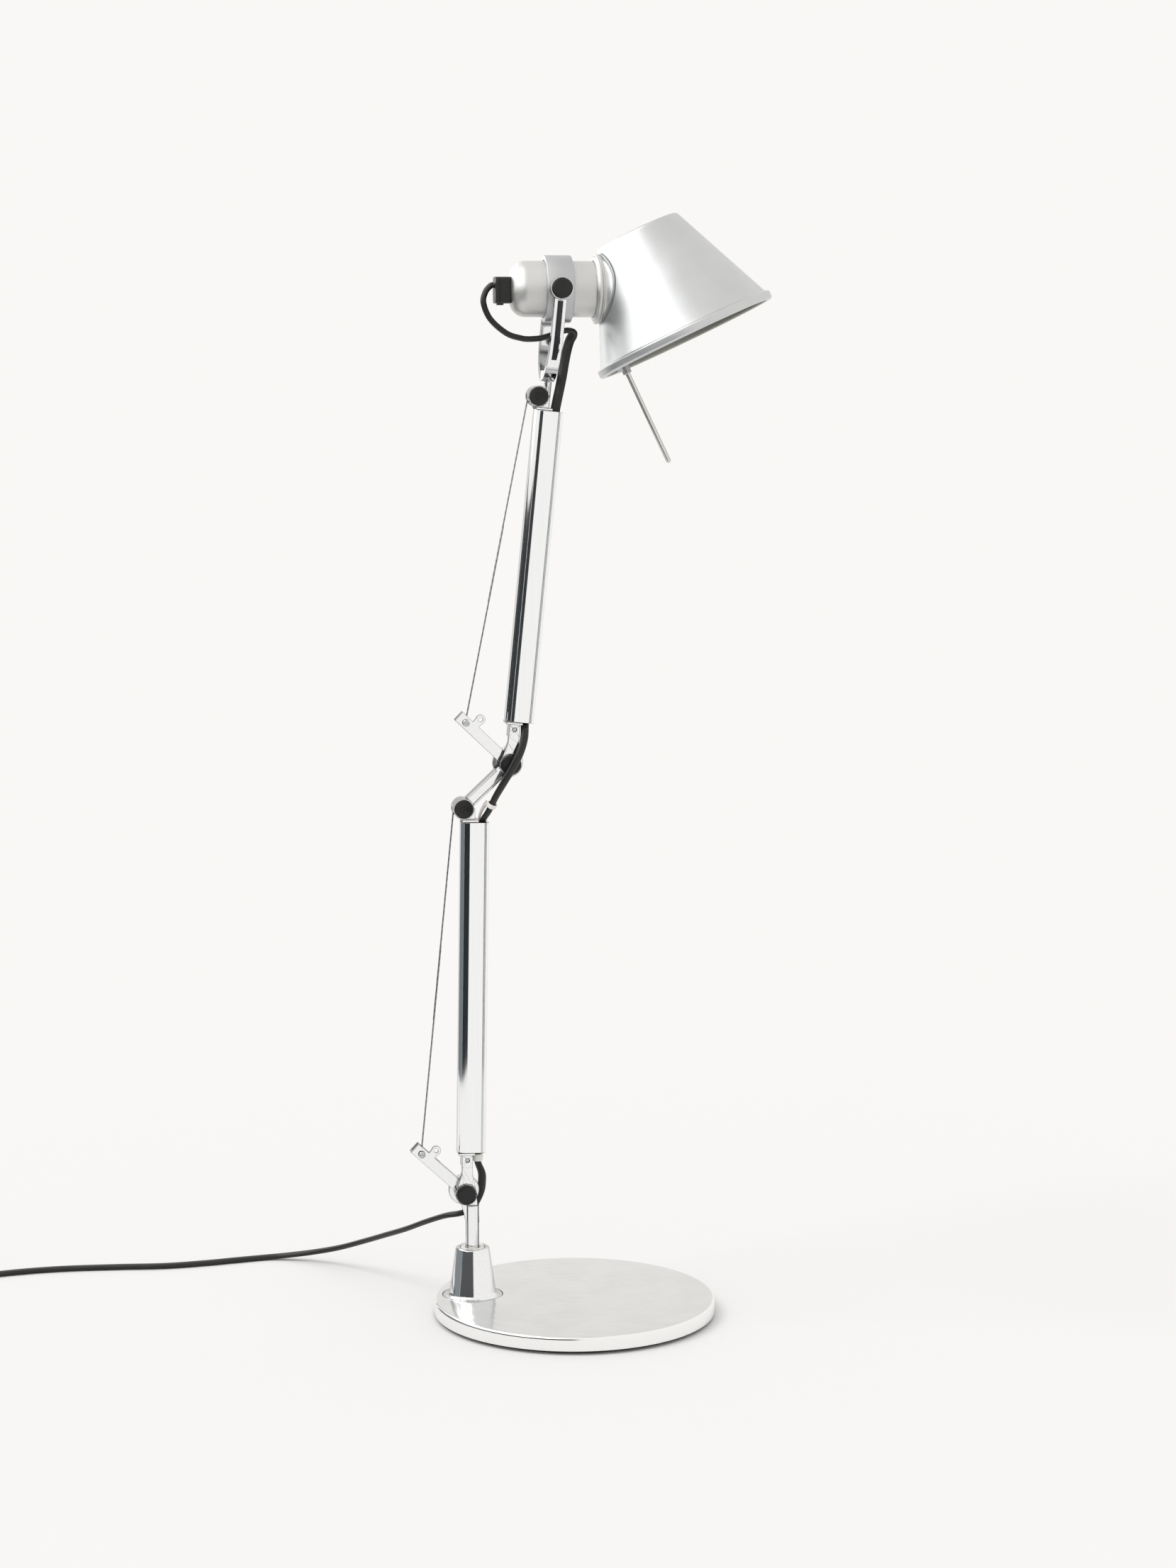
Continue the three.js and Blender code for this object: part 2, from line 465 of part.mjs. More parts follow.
function makeHead() {
  const group = new THREE.Group();
  group.position.set(HEAD.x, 0, HEAD.z);
  armPlane.add(group);
  const spun = new THREE.Group();
  spun.rotation.x = SHADE.spin;
  group.add(spun);
  const shadeGroup = new THREE.Group();
  shadeGroup.position.set(SHADE.x, 0, SHADE.z);
  shadeGroup.rotation.y = -SHADE.tilt;
  spun.add(shadeGroup);

  const ring = turnedX([
    [RING.inner, RING.x0], [RING.outer - 0.4, RING.x0], [RING.outer, RING.x0 + 0.4], [RING.outer, RING.x1 - 0.4],
    [RING.outer - 0.4, RING.x1], [RING.inner, RING.x1], [RING.inner, RING.x0],
  ], 36);
  const studs = join(drum(0, 0, 2.4, -FORK.outer + 0.1, -18), drum(0, 0, 2.4, 18, FORK.outer - 0.1));
  place(group, 'head_ring', studs.subtract(solid(turnedX([[0, -9], [RING.inner, -9], [RING.inner, 9], [0, 9]], 36)))
    .add(solid(ring)), SATIN);

  const { radius, rear, front, wall, dome } = HOUSING;
  const housing = turnedX([
    [0, rear], [radius - dome, rear], ...arc(radius - dome, rear + dome, dome, 280, 360, 4),
    [radius, front], [radius - wall, front], ...arc(radius - dome, rear + dome, dome - wall, 360, 280, 4),
    [0, rear + wall],
  ]);
  place(group, 'lamp_housing', cut(solid(housing), turnedX([[0, rear - 1], [3, rear - 1], [3, rear + 3], [0, rear + 3]], 20)),
    SATIN);

  const holder = turnedX([
    [0, -14], [14.8, -14], [14.8, 22], [13, 22.6], [13, 33], [7.7, 33], [7.7, 10], [0, 10],
  ], 36);
  place(group, 'lampholder', holder, BLACK);
  const bulb = turnedX([
    [0, 12], [7.3, 12], [7.3, 37], [9.5, 45],
    ...Array.from({ length: 9 }, (_, i) => {
      const angle = (-50 + 140 * i / 8) * DEG;
      return [i === 8 ? 0 : 19 * Math.cos(angle), 62 + 19 * Math.sin(angle)];
    }),
  ], 36);
  place(group, 'bulb', bulb, GLASS);

  const intoHead = (geometry) => geometry.rotateY(-SHADE.tilt).translate(SHADE.x, 0, SHADE.z).rotateX(SHADE.spin);
  const collarRing = turnedX([
    [COLLAR.bore, COLLAR.x0], [COLLAR.radius - 1.5, COLLAR.x0],
    ...arc(COLLAR.radius - 1.5, COLLAR.x0 + 1.5, 1.5, 300, 360, 3),
    [COLLAR.radius, COLLAR.x1], [COLLAR.bore, COLLAR.x1], [COLLAR.bore, COLLAR.x0],
  ], 36);
  place(group, 'shade_collar', cut(solid(collarRing), intoHead(shadeSolid(GAP))), SATIN);

  const outOfHead = (geometry) => geometry.translate(-SHADE.x, 0, -SHADE.z).rotateY(SHADE.tilt);
  const neckHole = outOfHead(turnedX([[0, 15], [15.6, 15], [15.6, 40], [0, 40]], 36));
  place(shadeGroup, 'shade', cut(solid(shadeShell()), neckHole), SATIN);

  const socket = join(post(ROD.x, 0, 2.7, -6, 20, 20), block(ROD.x - 4.6, ROD.x - 1, -2.4, 2.4, -3.5, 16));
  place(shadeGroup, 'handle_socket', cut(socket, post(ROD.x, 0, ROD.radius + GAP, -8, ROD.root + GAP, 20)), SATIN);
  const rod = turned([
    [0, ROD.tip], [0.8, ROD.tip + 0.2], [ROD.radius, ROD.tip + 1.2], [ROD.radius, ROD.root], [0, ROD.root],
  ], 20).translate(ROD.x, 0, 0);
  place(shadeGroup, 'handle_rod', rod, STEEL);

  makeSwitch(group);
}

// The moulded block on the rear of the housing takes the cord and holds the slide switch underneath.
function makeSwitch(group) {
  const { rear } = HOUSING;
  const outline = new THREE.Shape([
    ...arc(-5, -6.4, 2, 180, 270, 3), ...arc(5, -6.4, 2, 270, 360, 3),
    ...arc(4.5, 4.4, 2.5, 0, 90, 3), ...arc(-4.5, 4.4, 2.5, 90, 180, 3),
  ].map(([y, z]) => new THREE.Vector2(y, z)));
  const body = new THREE.ExtrudeGeometry(outline, { depth: 8.8, bevelEnabled: false })
    .applyMatrix4(new THREE.Matrix4().makeBasis(
      new THREE.Vector3(0, 1, 0), new THREE.Vector3(0, 0, 1), new THREE.Vector3(1, 0, 0)))
    .translate(rear - 9.1, 0, 0);
  const recess = block(rear - 8, rear - 1, -2.9, 2.9, -9, -6.9);
  place(group, 'switch_body', cut(solid(body), recess), BLACK);
  place(group, 'switch_slider', block(rear - 7.7, rear - 4, -2.6, 2.6, -9.5, -7.2), BLACK);
}

// ---------- cords ----------
// The lamp carries its own lead outside the joints and inside the tubes.
function heldCords() {
  const cord = (name, points, steps) => place(armPlane, name, swept(points, 2 * CORD, 2 * CORD, 8, steps), CORD_BLACK);
  const inArm = (arm, pivot, x, y, z) => {
    const p = armPoint(arm, pivot, x, z);
    return [p.x, y, p.z];
  };
  const lowerTop = TUBE.start + LOWER.length;
  const upperTop = TUBE.start + UPPER.length;
  const inLower = (x, y, z) => inArm(LOWER, PIVOT, x, y, z);
  const inUpper = (x, y, z) => inArm(UPPER, MID, x, y, z);
  cord('head_cord', [
    [HEAD.x + HOUSING.rear - 9.6, 0, 617.7], [13.2, 0, 617.2], [10.2, 0, 613.5], [9.1, 0, 607.3],
    [13.2, 0, 597.9], [22.8, 0, 589.7], [31.5, 0, 586.9], [35.8, 0, 586.4],
  ], 14);
  cord('fork_cord', [[36.3, 0, 586.4], [42, 0, 586.9], [47.8, 0, 588.6], [52, 0, 590.4], [55.5, 0, 592]], 5);
  cord('neck_cord', [
    [56.1, 0, 592.3], [59.4, 0, 593.5], [62.6, 0, 593.2], [64, 0, 590.4], [62.4, 0, 586], [59.8, 0, 580.4],
    [57.2, 0, 573], [55.3, 0, 562.9], inUpper(7.4, 0, upperTop + 1), inUpper(7.4, 0, upperTop - 8),
  ], 16);
  cord('upper_tube_cord', [inUpper(7.4, 0, upperTop - 8.4), inUpper(7.4, 0, TUBE.start + 8.4)], 1);
  cord('mid_cord', [
    inUpper(7.4, 0, TUBE.start + 8), inUpper(7, -1.5, TUBE.start), inUpper(6.6, -7, 16.7), [28.4, -11, 343],
    [23.9, -11.3, 334.2], [18.8, -10.6, 325.4], [14.1, -8, 316.6], [10.4, -4.5, 307.8],
    inLower(7.9, -1.4, lowerTop), inLower(7.6, 0, lowerTop - 8),
  ], 26);
  cord('lower_tube_cord', [inLower(7.6, 0, lowerTop - 8.4), inLower(7.4, 0, TUBE.start + 8.4)], 1);
  cord('lower_cord', [
    inLower(7.4, 0, TUBE.start + 8), inLower(7.4, 0, TUBE.start), inLower(7.4, 0, 19), [6.2, 3, 85.5],
    [7, 8.4, 78], [6.8, 12.5, 71.5], [4.2, 12.6, 65.2], [0.4, 10.6, 61.4], [-2.4, 8.4, 60.4],
  ], 20);
}

// The free lead runs from behind the stem down to the surface and away to the left,
// and the length that is not in use is wound in a coil with its plug beside it.
function freeCord() {
  const floor = FLAT_CORD.thick / 2 + 0.1;
  const route = [
    [-63.8, 21.5, 60.1], [-69, 19.6, 59.6], [-76, 24.5, 57.4], [-86, 40, 50], [-96.5, 58, 41], [-107, 79, 32],
    [-118.5, 101, 22.5], [-133, 122, 13], [-149, 137.5, 6.4], [-165, 145, 3], [-178, 147, floor], [-198, 143.5, floor],
    [-217, 140, floor], [-243, 137.5, floor], [-275, 140, floor], [-312, 141, floor], [-346, 136, floor],
    [-372, 126, floor], [-400, 103.6, floor],
  ];
  place(lamp, 'mains_cord', swept(route, FLAT_CORD.width, FLAT_CORD.thick, 8, 54), CORD_BLACK);
  const inner = COIL.radius - COIL.across / 2;
  const outer = COIL.radius + COIL.across / 2;
  const coil = turned([[inner, 0.1], [outer, 0.1], [outer, COIL.tall], [inner, COIL.tall], [inner, 0.1]], 32)
    .translate(COIL.x, COIL.y, 0);
  place(lamp, 'cord_coil', coil, CORD_BLACK);
  makePlug();
}

// A flat two-pin plug lying beside the coil.
function makePlug() {
  const outline = new THREE.Shape([[-10, 0], [10, 0], [12.5, 4], [12.5, 17], [5, 29], [-5, 29], [-12.5, 17], [-12.5, 4]]
    .map(([x, y]) => new THREE.Vector2(x, y)));
  const body = new THREE.ExtrudeGeometry(outline, { depth: 13, bevelEnabled: false }).translate(0, 0, 0.2);
  const pins = [-9.5, 9.5].map((x) => new THREE.CylinderGeometry(2, 2, 20, 16).translate(x, -9.4, 6.7));
  const group = new THREE.Group();
  group.position.set(COIL.x + 53, COIL.y + COIL.radius + 5, 0);
  group.rotation.z = Math.PI / 2;
  lamp.add(group);
  place(group, 'plug', join(body, ...pins), BLACK);
}

makeBase();
makeStem();
makeLowerArm();
makeUpperArm();
balanceWire(armPlane, 'lower', LOWER, PIVOT, { x: PIVOT.x + CLAMP.x, z: PIVOT.z + CLAMP.z });
const upperClamp = armPoint(LOWER, PIVOT, LINK.x + CLAMP.x, TUBE.start + LOWER.length + LINK.above + CLAMP.z);
balanceWire(armPlane, 'upper', UPPER, MID, upperClamp);
makeFork();
makeHead();
heldCords();
freeCord();

export default lamp;
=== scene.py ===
# %% [markdown]
# # An architect desk lamp
# A heavy round base carries a swivelling stem, two tube arms held up by hidden springs, a fork and a
# turning spun-metal head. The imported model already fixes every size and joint, so this script only dresses
# it: each piece is built finer than its plain solid, in the same place, and given its real finish.

# %% Load the frame
import json
import math

import bmesh
import bpy
from mathutils import Matrix, Vector


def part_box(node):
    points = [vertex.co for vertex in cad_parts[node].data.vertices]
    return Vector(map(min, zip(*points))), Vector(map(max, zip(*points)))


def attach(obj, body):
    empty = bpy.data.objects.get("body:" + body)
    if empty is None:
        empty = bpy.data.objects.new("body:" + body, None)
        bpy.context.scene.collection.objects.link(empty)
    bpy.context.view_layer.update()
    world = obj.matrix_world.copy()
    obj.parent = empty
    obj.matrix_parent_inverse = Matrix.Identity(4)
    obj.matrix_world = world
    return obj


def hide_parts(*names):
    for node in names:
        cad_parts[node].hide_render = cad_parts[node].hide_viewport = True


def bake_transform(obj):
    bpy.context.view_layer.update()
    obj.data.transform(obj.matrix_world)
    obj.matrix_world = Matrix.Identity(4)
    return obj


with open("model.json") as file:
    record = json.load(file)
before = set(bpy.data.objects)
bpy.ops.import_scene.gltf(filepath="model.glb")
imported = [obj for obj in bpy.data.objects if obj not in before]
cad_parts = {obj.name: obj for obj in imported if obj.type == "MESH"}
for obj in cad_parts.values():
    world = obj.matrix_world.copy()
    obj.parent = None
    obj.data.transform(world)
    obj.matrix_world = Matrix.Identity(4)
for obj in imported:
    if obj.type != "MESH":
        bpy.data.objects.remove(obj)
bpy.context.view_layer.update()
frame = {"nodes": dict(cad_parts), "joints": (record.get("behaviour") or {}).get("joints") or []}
nodes = frame["nodes"]
joints = {joint["name"]: joint for joint in frame["joints"]}

# %% [markdown]
# ## Where things are
# The joints say where each mechanism sits. Pieces are drawn in millimetres about their own pivot, in the
# tilted frame of the arm they belong to, because that is how the shop drawing of such a lamp is dimensioned.

# %% Local frames
MM = 0.001
PIVOT = Vector(joints["lower_arm_tilt"]["pos_m"])
MID = Vector(joints["upper_arm_tilt"]["pos_m"])
HEAD = Vector(joints["head_tilt"]["pos_m"])
STEM = Vector((joints["stem_swivel"]["pos_m"][0], joints["stem_swivel"]["pos_m"][1], 0))
LOWER_LEAN = math.radians(0.88)
UPPER_LEAN = math.atan2(joints["fork_swivel"]["axis"][0], joints["fork_swivel"]["axis"][2])
SHADE_TILT, SHADE_SPIN = math.radians(24.6), math.radians(-6.5)


def place(origin, lean=0.0):
    """A frame in millimetres with its origin at a point in metres, leaning towards +X."""
    return Matrix.Translation(origin) @ Matrix.Rotation(lean, 4, "Y") @ Matrix.Scale(MM, 4)


AT_BASE = place(Vector((0, 0, 0)))
AT_STEM = place(STEM)
AT_LOWER = place(PIVOT, LOWER_LEAN)
AT_UPPER = place(MID, UPPER_LEAN)
AT_HEAD = place(HEAD)
AT_SHADE = AT_HEAD @ Matrix.Rotation(SHADE_SPIN, 4, "X") @ Matrix.Translation((76.8, 0, -27.1)) \
    @ Matrix.Rotation(-SHADE_TILT, 4, "Y")
print("pivots:", tuple(PIVOT), tuple(MID), tuple(HEAD))

# %% [markdown]
# ## Camera
# A long lens a little under two metres away, just below the height of the head and turned slightly to the
# left of the arm plane. It looks down by seven degrees, so no lens shift is needed.

# %% Camera
LOOK_DOWN, TURNED_ASIDE = 7.33, 9.2
lens = bpy.data.cameras.new("camera")
lens.sensor_width = 36
lens.lens = 72.9
lens.clip_end = 200
camera = bpy.data.objects.new("camera", lens)
camera.location = (-0.2915, -1.8509, 0.5652)
camera.rotation_euler = (math.radians(90 - LOOK_DOWN), 0, math.radians(-TURNED_ASIDE))
bpy.context.scene.collection.objects.link(camera)
bpy.context.scene.camera = camera
print("camera:", tuple(round(v, 3) for v in camera.location))

# %% [markdown]
# ## Mesh tools
# Nearly every piece of such a lamp comes off a lathe, a bender or an extruder, so three small builders cover
# it: turn a profile, sweep a section along a path, and extrude an outline. Edges sharper than thirty degrees
# stay crisp and everything else shades smooth.

# %% Finish a mesh as a piece of the lamp
SHARP = math.radians(30)


def mark_edges(mesh_data):
    """Smooth faces, with the sharp edges kept."""
    work = bmesh.new()
    work.from_mesh(mesh_data)
    bmesh.ops.recalc_face_normals(work, faces=work.faces)
    for face in work.faces:
        face.smooth = True
    for edge in work.edges:
        edge.smooth = not edge.is_manifold or edge.calc_face_angle(0) < SHARP
    work.to_mesh(mesh_data)
    work.free()


def piece(name, work, at, body, material, slot, *replaced):
    """Turns a bmesh drawn in millimetres into an object that rides on a body."""
    work.transform(at)
    data = bpy.data.meshes.new(name)
    work.to_mesh(data)
    work.free()
    mark_edges(data)
    data.materials.append(material)
    made = bpy.data.objects.new(name, data)
    bpy.context.scene.collection.objects.link(made)
    if body:
        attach(made, body)
    if replaced:
        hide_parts(*replaced)
    return made


# %% Turn a profile
def turned(profile, sides=64, axis="Z", centre=(0, 0, 0)):
    """A lathe piece: profile is a list of (radius, height); radius 0 closes on the axis."""
    work = bmesh.new()
    rings = []
    for radius, height in profile:
        if radius == 0:
            rings.append([work.verts.new((0, 0, height))])
            continue
        turn = [2 * math.pi * i / sides for i in range(sides)]
        rings.append([work.verts.new((radius * math.cos(a), radius * math.sin(a), height)) for a in turn])
    closed = profile[0][0] > 0
    pairs = list(zip(rings, rings[1:])) + ([(rings[-1], rings[0])] if closed else [])
    for low, high in pairs:
        for i in range(sides):
            j = (i + 1) % sides
            corners = [low[i % len(low)], low[j % len(low)], high[j % len(high)], high[i % len(high)]]
            unique = list(dict.fromkeys(corners))
            if len(unique) > 2:
                work.faces.new(unique)
    turn_to = {"Z": Matrix.Identity(4), "X": Matrix.Rotation(math.pi / 2, 4, "Y"),
               "Y": Matrix.Rotation(-math.pi / 2, 4, "X")}[axis]
    work.transform(Matrix.Translation(centre) @ turn_to)
    return work


def arc(cx, cy, radius, start, end, steps=6):
    """Points of a circular arc, in degrees, for a profile or an outline."""
    turn = [math.radians(start + (end - start) * i / steps) for i in range(steps + 1)]
    return [(cx + radius * math.cos(a), cy + radius * math.sin(a)) for a in turn]


# %% Extrude an outline
def extruded(outline, low, high, hole=None, bevel=0.0, top=None):
    """A prism along Z from a closed outline, with an optional through hole or another outline at its top."""
    work = bmesh.new()
    loops = []
    for points, ends in ((outline, top or outline), (hole, hole)) if hole else ((outline, top or outline),):
        pair = ((points, low), (ends, high))
        loops.append([[work.verts.new((x, y, z)) for x, y in shape] for shape, z in pair])
    for bottom, top in loops:
        for i in range(len(bottom)):
            j = (i + 1) % len(bottom)
            work.faces.new((bottom[i], bottom[j], top[j], top[i]))
    for level in (0, 1):
        if hole:
            edges = [work.edges.get((ring[level][i - 1], ring[level][i]))
                     for ring in loops for i in range(len(ring[level]))]
            bmesh.ops.triangle_fill(work, use_beauty=True, use_dissolve=False, edges=edges)
        else:
            work.faces.new(loops[0][level])
    if bevel:
        rims = [e for e in work.edges if abs(e.verts[0].co.z - e.verts[1].co.z) < 1e-6]
        bmesh.ops.bevel(work, geom=rims, offset=bevel, segments=3, profile=0.5, affect="EDGES")
    bmesh.ops.recalc_face_normals(work, faces=work.faces)
    return work


# %% Sweep a section along a path
def smooth_path(points, per_span=8):
    """A Catmull-Rom curve through the given points."""
    held = [Vector(p) for p in points]
    held = [2 * held[0] - held[1]] + held + [2 * held[-1] - held[-2]]
    path = []
    for a, b, c, d in zip(held, held[1:], held[2:], held[3:]):
        for i in range(per_span):
            t = i / per_span
            path.append(0.5 * (2 * b + (c - a) * t + (2 * a - 5 * b + 4 * c - d) * t ** 2
                               + (3 * b - a - 3 * c + d) * t ** 3))
    return path + [held[-2]]


def swept(path, section, twist=0.0, up=Vector((0, 0, 1))):
    """A tube along a path. section holds (across, up) points; twist is in radians per millimetre."""
    work = bmesh.new()
    rings = []
    run = 0.0
    normal = None
    for i, point in enumerate(path):
        ahead = (path[min(i + 1, len(path) - 1)] - path[max(i - 1, 0)]).normalized()
        normal = (up if normal is None else normal)
        if normal is up and abs(ahead.dot(up)) > 0.95:
            normal = Vector((0, 1, 0))
        normal = (normal - ahead * normal.dot(ahead)).normalized()
        side = ahead.cross(normal)
        if i:
            run += (point - path[i - 1]).length
        c, s = math.cos(twist * run), math.sin(twist * run)
        turn = [(a * c - b * s, a * s + b * c) for a, b in section]
        rings.append([work.verts.new(point + side * across + normal * rise) for across, rise in turn])
    for low, high in zip(rings, rings[1:]):
        for i in range(len(section)):
            work.faces.new((low[i - 1], low[i], high[i], high[i - 1]))
    work.faces.new(rings[0])
    work.faces.new(rings[-1])
    return work


def oval(width, thick, sides=16):
    """An oval section: round when width and thick are equal."""
    return [(width / 2 * math.cos(2 * math.pi * i / sides), thick / 2 * math.sin(2 * math.pi * i / sides))
            for i in range(sides)]


# %% Cut and join solids
def combined(base, tool, how):
    """base with tool cut away (DIFFERENCE) or joined on (UNION), both bmeshes in the same millimetres."""
    made = []
    for work in (base, tool):
        data = bpy.data.meshes.new("work")
        work.to_mesh(data)
        work.free()
        obj = bpy.data.objects.new("work", data)
        bpy.context.scene.collection.objects.link(obj)
        made.append(obj)
    step = made[0].modifiers.new("cut", "BOOLEAN")
    step.operation = how
    step.object = made[1]
    step.solver = "EXACT"
    graph = bpy.context.evaluated_depsgraph_get()
    result = bmesh.new()
    result.from_mesh(bpy.data.meshes.new_from_object(made[0].evaluated_get(graph)))
    for obj in made:
        bpy.data.objects.remove(obj)
    return result


def cylinder(radius, low, high, axis="Y", centre=(0, 0, 0), sides=48):
    """A plain turned disc or pin."""
    return turned([(0, low), (radius, low), (radius, high), (0, high)], sides, axis, centre)


def box(x0, x1, y0, y1, z0, z1, bevel=0.0):
    """A block between six limits; bevel rounds the edges of its top and bottom."""
    return extruded([(x0, y0), (x1, y0), (x1, y1), (x0, y1)], z0, z1, bevel=bevel)


print("mesh tools ready")

# %% [markdown]
# ## Finishes
# A metal is a mirror tinted by its own colour, and everything that tells polished from satin is in how rough
# and how even the mirror is. So the bare metals are fully metallic; only the turned parts, under a thin
# lacquer, and the dull cast iron are a little less. Roughness and a very shallow bump are driven by noise at
# the size the real process leaves. Colours are given as sRGB hex and made linear once.

# %% Colour and node helpers
def linear(hex_code):
    """sRGB hex to the linear colour a shader wants."""
    channels = [int(hex_code[i:i + 2], 16) / 255 for i in (1, 3, 5)]
    return tuple(c / 12.92 if c <= 0.04045 else ((c + 0.055) / 1.055) ** 2.4 for c in channels) + (1,)


def add(tree, kind, settings=None, links=None):
    """Adds one node, sets its sockets or properties, and links its inputs."""
    node = tree.nodes.new(kind)
    for name, value in (settings or {}).items():
        if name in node.inputs:
            node.inputs[name].default_value = value
        else:
            setattr(node, name, value)
    for name, source in (links or {}).items():
        tree.links.new(source, node.inputs[name])
    return node


def start(name, hex_code, metallic, roughness, **sockets):
    """A new material with its main values on the shader's own sockets."""
    material = bpy.data.materials.new(name)
    material.use_nodes = True
    shader = material.node_tree.nodes["Principled BSDF"]
    values = {"Base Color": linear(hex_code), "Metallic": metallic, "Roughness": roughness, **sockets}
    for socket, value in values.items():
        shader.inputs[socket].default_value = value
    where = add(material.node_tree, "ShaderNodeTexCoord")
    return material, material.node_tree, shader, where.outputs["Object"]


def two_tone(tree, source, low, high):
    """Settings for a colour ramp between two hex colours."""
    ramp = add(tree, "ShaderNodeValToRGB", links={"Fac": source})
    ramp.color_ramp.elements[0].color = linear(low)
    ramp.color_ramp.elements[1].color = linear(high)
    ramp.color_ramp.elements[0].position = 0.35
    ramp.color_ramp.elements[1].position = 0.65
    return ramp.outputs["Color"]


def grazing_painted_shade(tree, tint, painted_edge_hex, begin=0.5, end=0.95):
    """Painted shade: the tint falls towards the given dark colour where the surface is seen edge-on, standing
    in for the dark room it mirrors.
    """
    facing = add(tree, "ShaderNodeLayerWeight", {"Blend": 0.5})
    painted_shade_amount = add(tree, "ShaderNodeMapRange", {"From Min": begin, "From Max": end},
                 {"Value": facing.outputs["Facing"]})
    mix = add(tree, "ShaderNodeMix", {"data_type": "RGBA"}, {"Factor": painted_shade_amount.outputs["Result"]})
    tree.links.new(tint, mix.inputs[6])
    mix.inputs[7].default_value = linear(painted_edge_hex)
    return mix.outputs[2]


def edges_painted_dark(tree, tint, painted_edge_hex, radius):
    """Rounds every edge by radius and paints the rounded strip dark, a painted reflection of the dark room;
    returns the colour and the rounded normal.
    """
    soft = add(tree, "ShaderNodeBevel", {"samples": 6, "Radius": radius * MM})
    true = add(tree, "ShaderNodeNewGeometry")
    agree = add(tree, "ShaderNodeVectorMath", {"operation": "DOT_PRODUCT"})
    tree.links.new(soft.outputs["Normal"], agree.inputs[0])
    tree.links.new(true.outputs["True Normal"], agree.inputs[1])
    strip = add(tree, "ShaderNodeMapRange", {"From Min": 0.985, "From Max": 0.86},
                {"Value": agree.outputs["Value"]})
    mix = add(tree, "ShaderNodeMix", {"data_type": "RGBA"}, {"Factor": strip.outputs["Result"]})
    tree.links.new(tint, mix.inputs[6])
    mix.inputs[7].default_value = linear(painted_edge_hex)
    return mix.outputs[2], soft.outputs["Normal"]


def per_mm(size):
    """Noise scale for features of that size in millimetres."""
    return 1 / (size * MM)


# %% [markdown]
# ### Polished die-cast aluminium
# The joints are pressure die castings, tumbled and buffed bright. The eye reads a clean mirror with a faint
# ripple left by the buffing wheel, so the bump is several millimetres long and under a tenth deep. No cast
# edge is a razor edge: the wheel rounds each one. The shader rounds the normal there and paints that strip
# dark, a painted reflection of the dark parts of the room. The tint is also painted darker where the metal is
# seen edge-on, a painted shade. Grooves that the wheel can't reach are duller, and their dark grey colour is
# a painted reflection of the dark room.

# %% Polished casting
def polished_casting(name, grazing_shade_hex, begin, end, lacquer=1.0):
    """Buffed aluminium with a long shallow ripple, painted shade where it is seen edge-on and painted dark
    reflections on its rounded edges.
    """
    material, tree, shader, where = start(name, "#F3F4F5", lacquer, 0.08)
    ripple = add(tree, "ShaderNodeTexNoise", {"Scale": per_mm(5), "Detail": 2}, {"Vector": where})
    haze = add(tree, "ShaderNodeTexNoise", {"Scale": per_mm(1.2), "Detail": 4}, {"Vector": where})
    rough = add(tree, "ShaderNodeMapRange", {"To Min": 0.06, "To Max": 0.1}, {"Value": haze.outputs["Fac"]})
    # Painted shade: the tint darkens towards the given colour where the metal is seen edge-on.
    tint = grazing_painted_shade(tree, two_tone(tree, haze.outputs["Fac"], "#F0F1F2", "#F5F6F6"), grazing_shade_hex, begin, end)
    # Painted reflection: rounded edges are painted towards #2C2E31.
    tint, rounded = edges_painted_dark(tree, tint, "#2C2E31", 0.65)
    bump = add(tree, "ShaderNodeBump", {"Strength": 0.2, "Distance": 0.00008},
               {"Height": ripple.outputs["Fac"], "Normal": rounded})
    tree.links.new(tint, shader.inputs["Base Color"])
    tree.links.new(rough.outputs["Result"], shader.inputs["Roughness"])
    tree.links.new(bump.outputs["Normal"], shader.inputs["Normal"])
    return material


# The third argument is the colour of the painted shade where the metal is seen edge-on.
CASTING = polished_casting("polished_die_cast_aluminium", "#6A6C70", 0.34, 0.85)
TURNING = polished_casting("polished_turned_aluminium", "#77797D", 0.5, 0.95, lacquer=0.93)


def groove_painted_dark():
    """Dull dark grey metal for grooves the buffing wheel cannot reach; the dark colour is a painted
    reflection.
    """
    material, tree, shader, where = start("groove_painted_dark_aluminium", "#3C3E41", 1.0, 0.45)
    skin = add(tree, "ShaderNodeTexNoise", {"Scale": per_mm(0.5), "Detail": 3}, {"Vector": where})
    bump = add(tree, "ShaderNodeBump", {"Strength": 0.3, "Distance": 0.00005},
               {"Height": skin.outputs["Fac"]})
    tree.links.new(two_tone(tree, skin.outputs["Fac"], "#36383B", "#46484B"), shader.inputs["Base Color"])
    tree.links.new(bump.outputs["Normal"], shader.inputs["Normal"])
    return material


GROOVE_PAINTED_DARK = groove_painted_dark()

# %% [markdown]
# ### Polished extrusion
# The arm tubes are extruded through a die, which draws faint straight lines along them, then polished and
# clear anodised. The lines are stretched noise: a fifth of a millimetre across and very long.

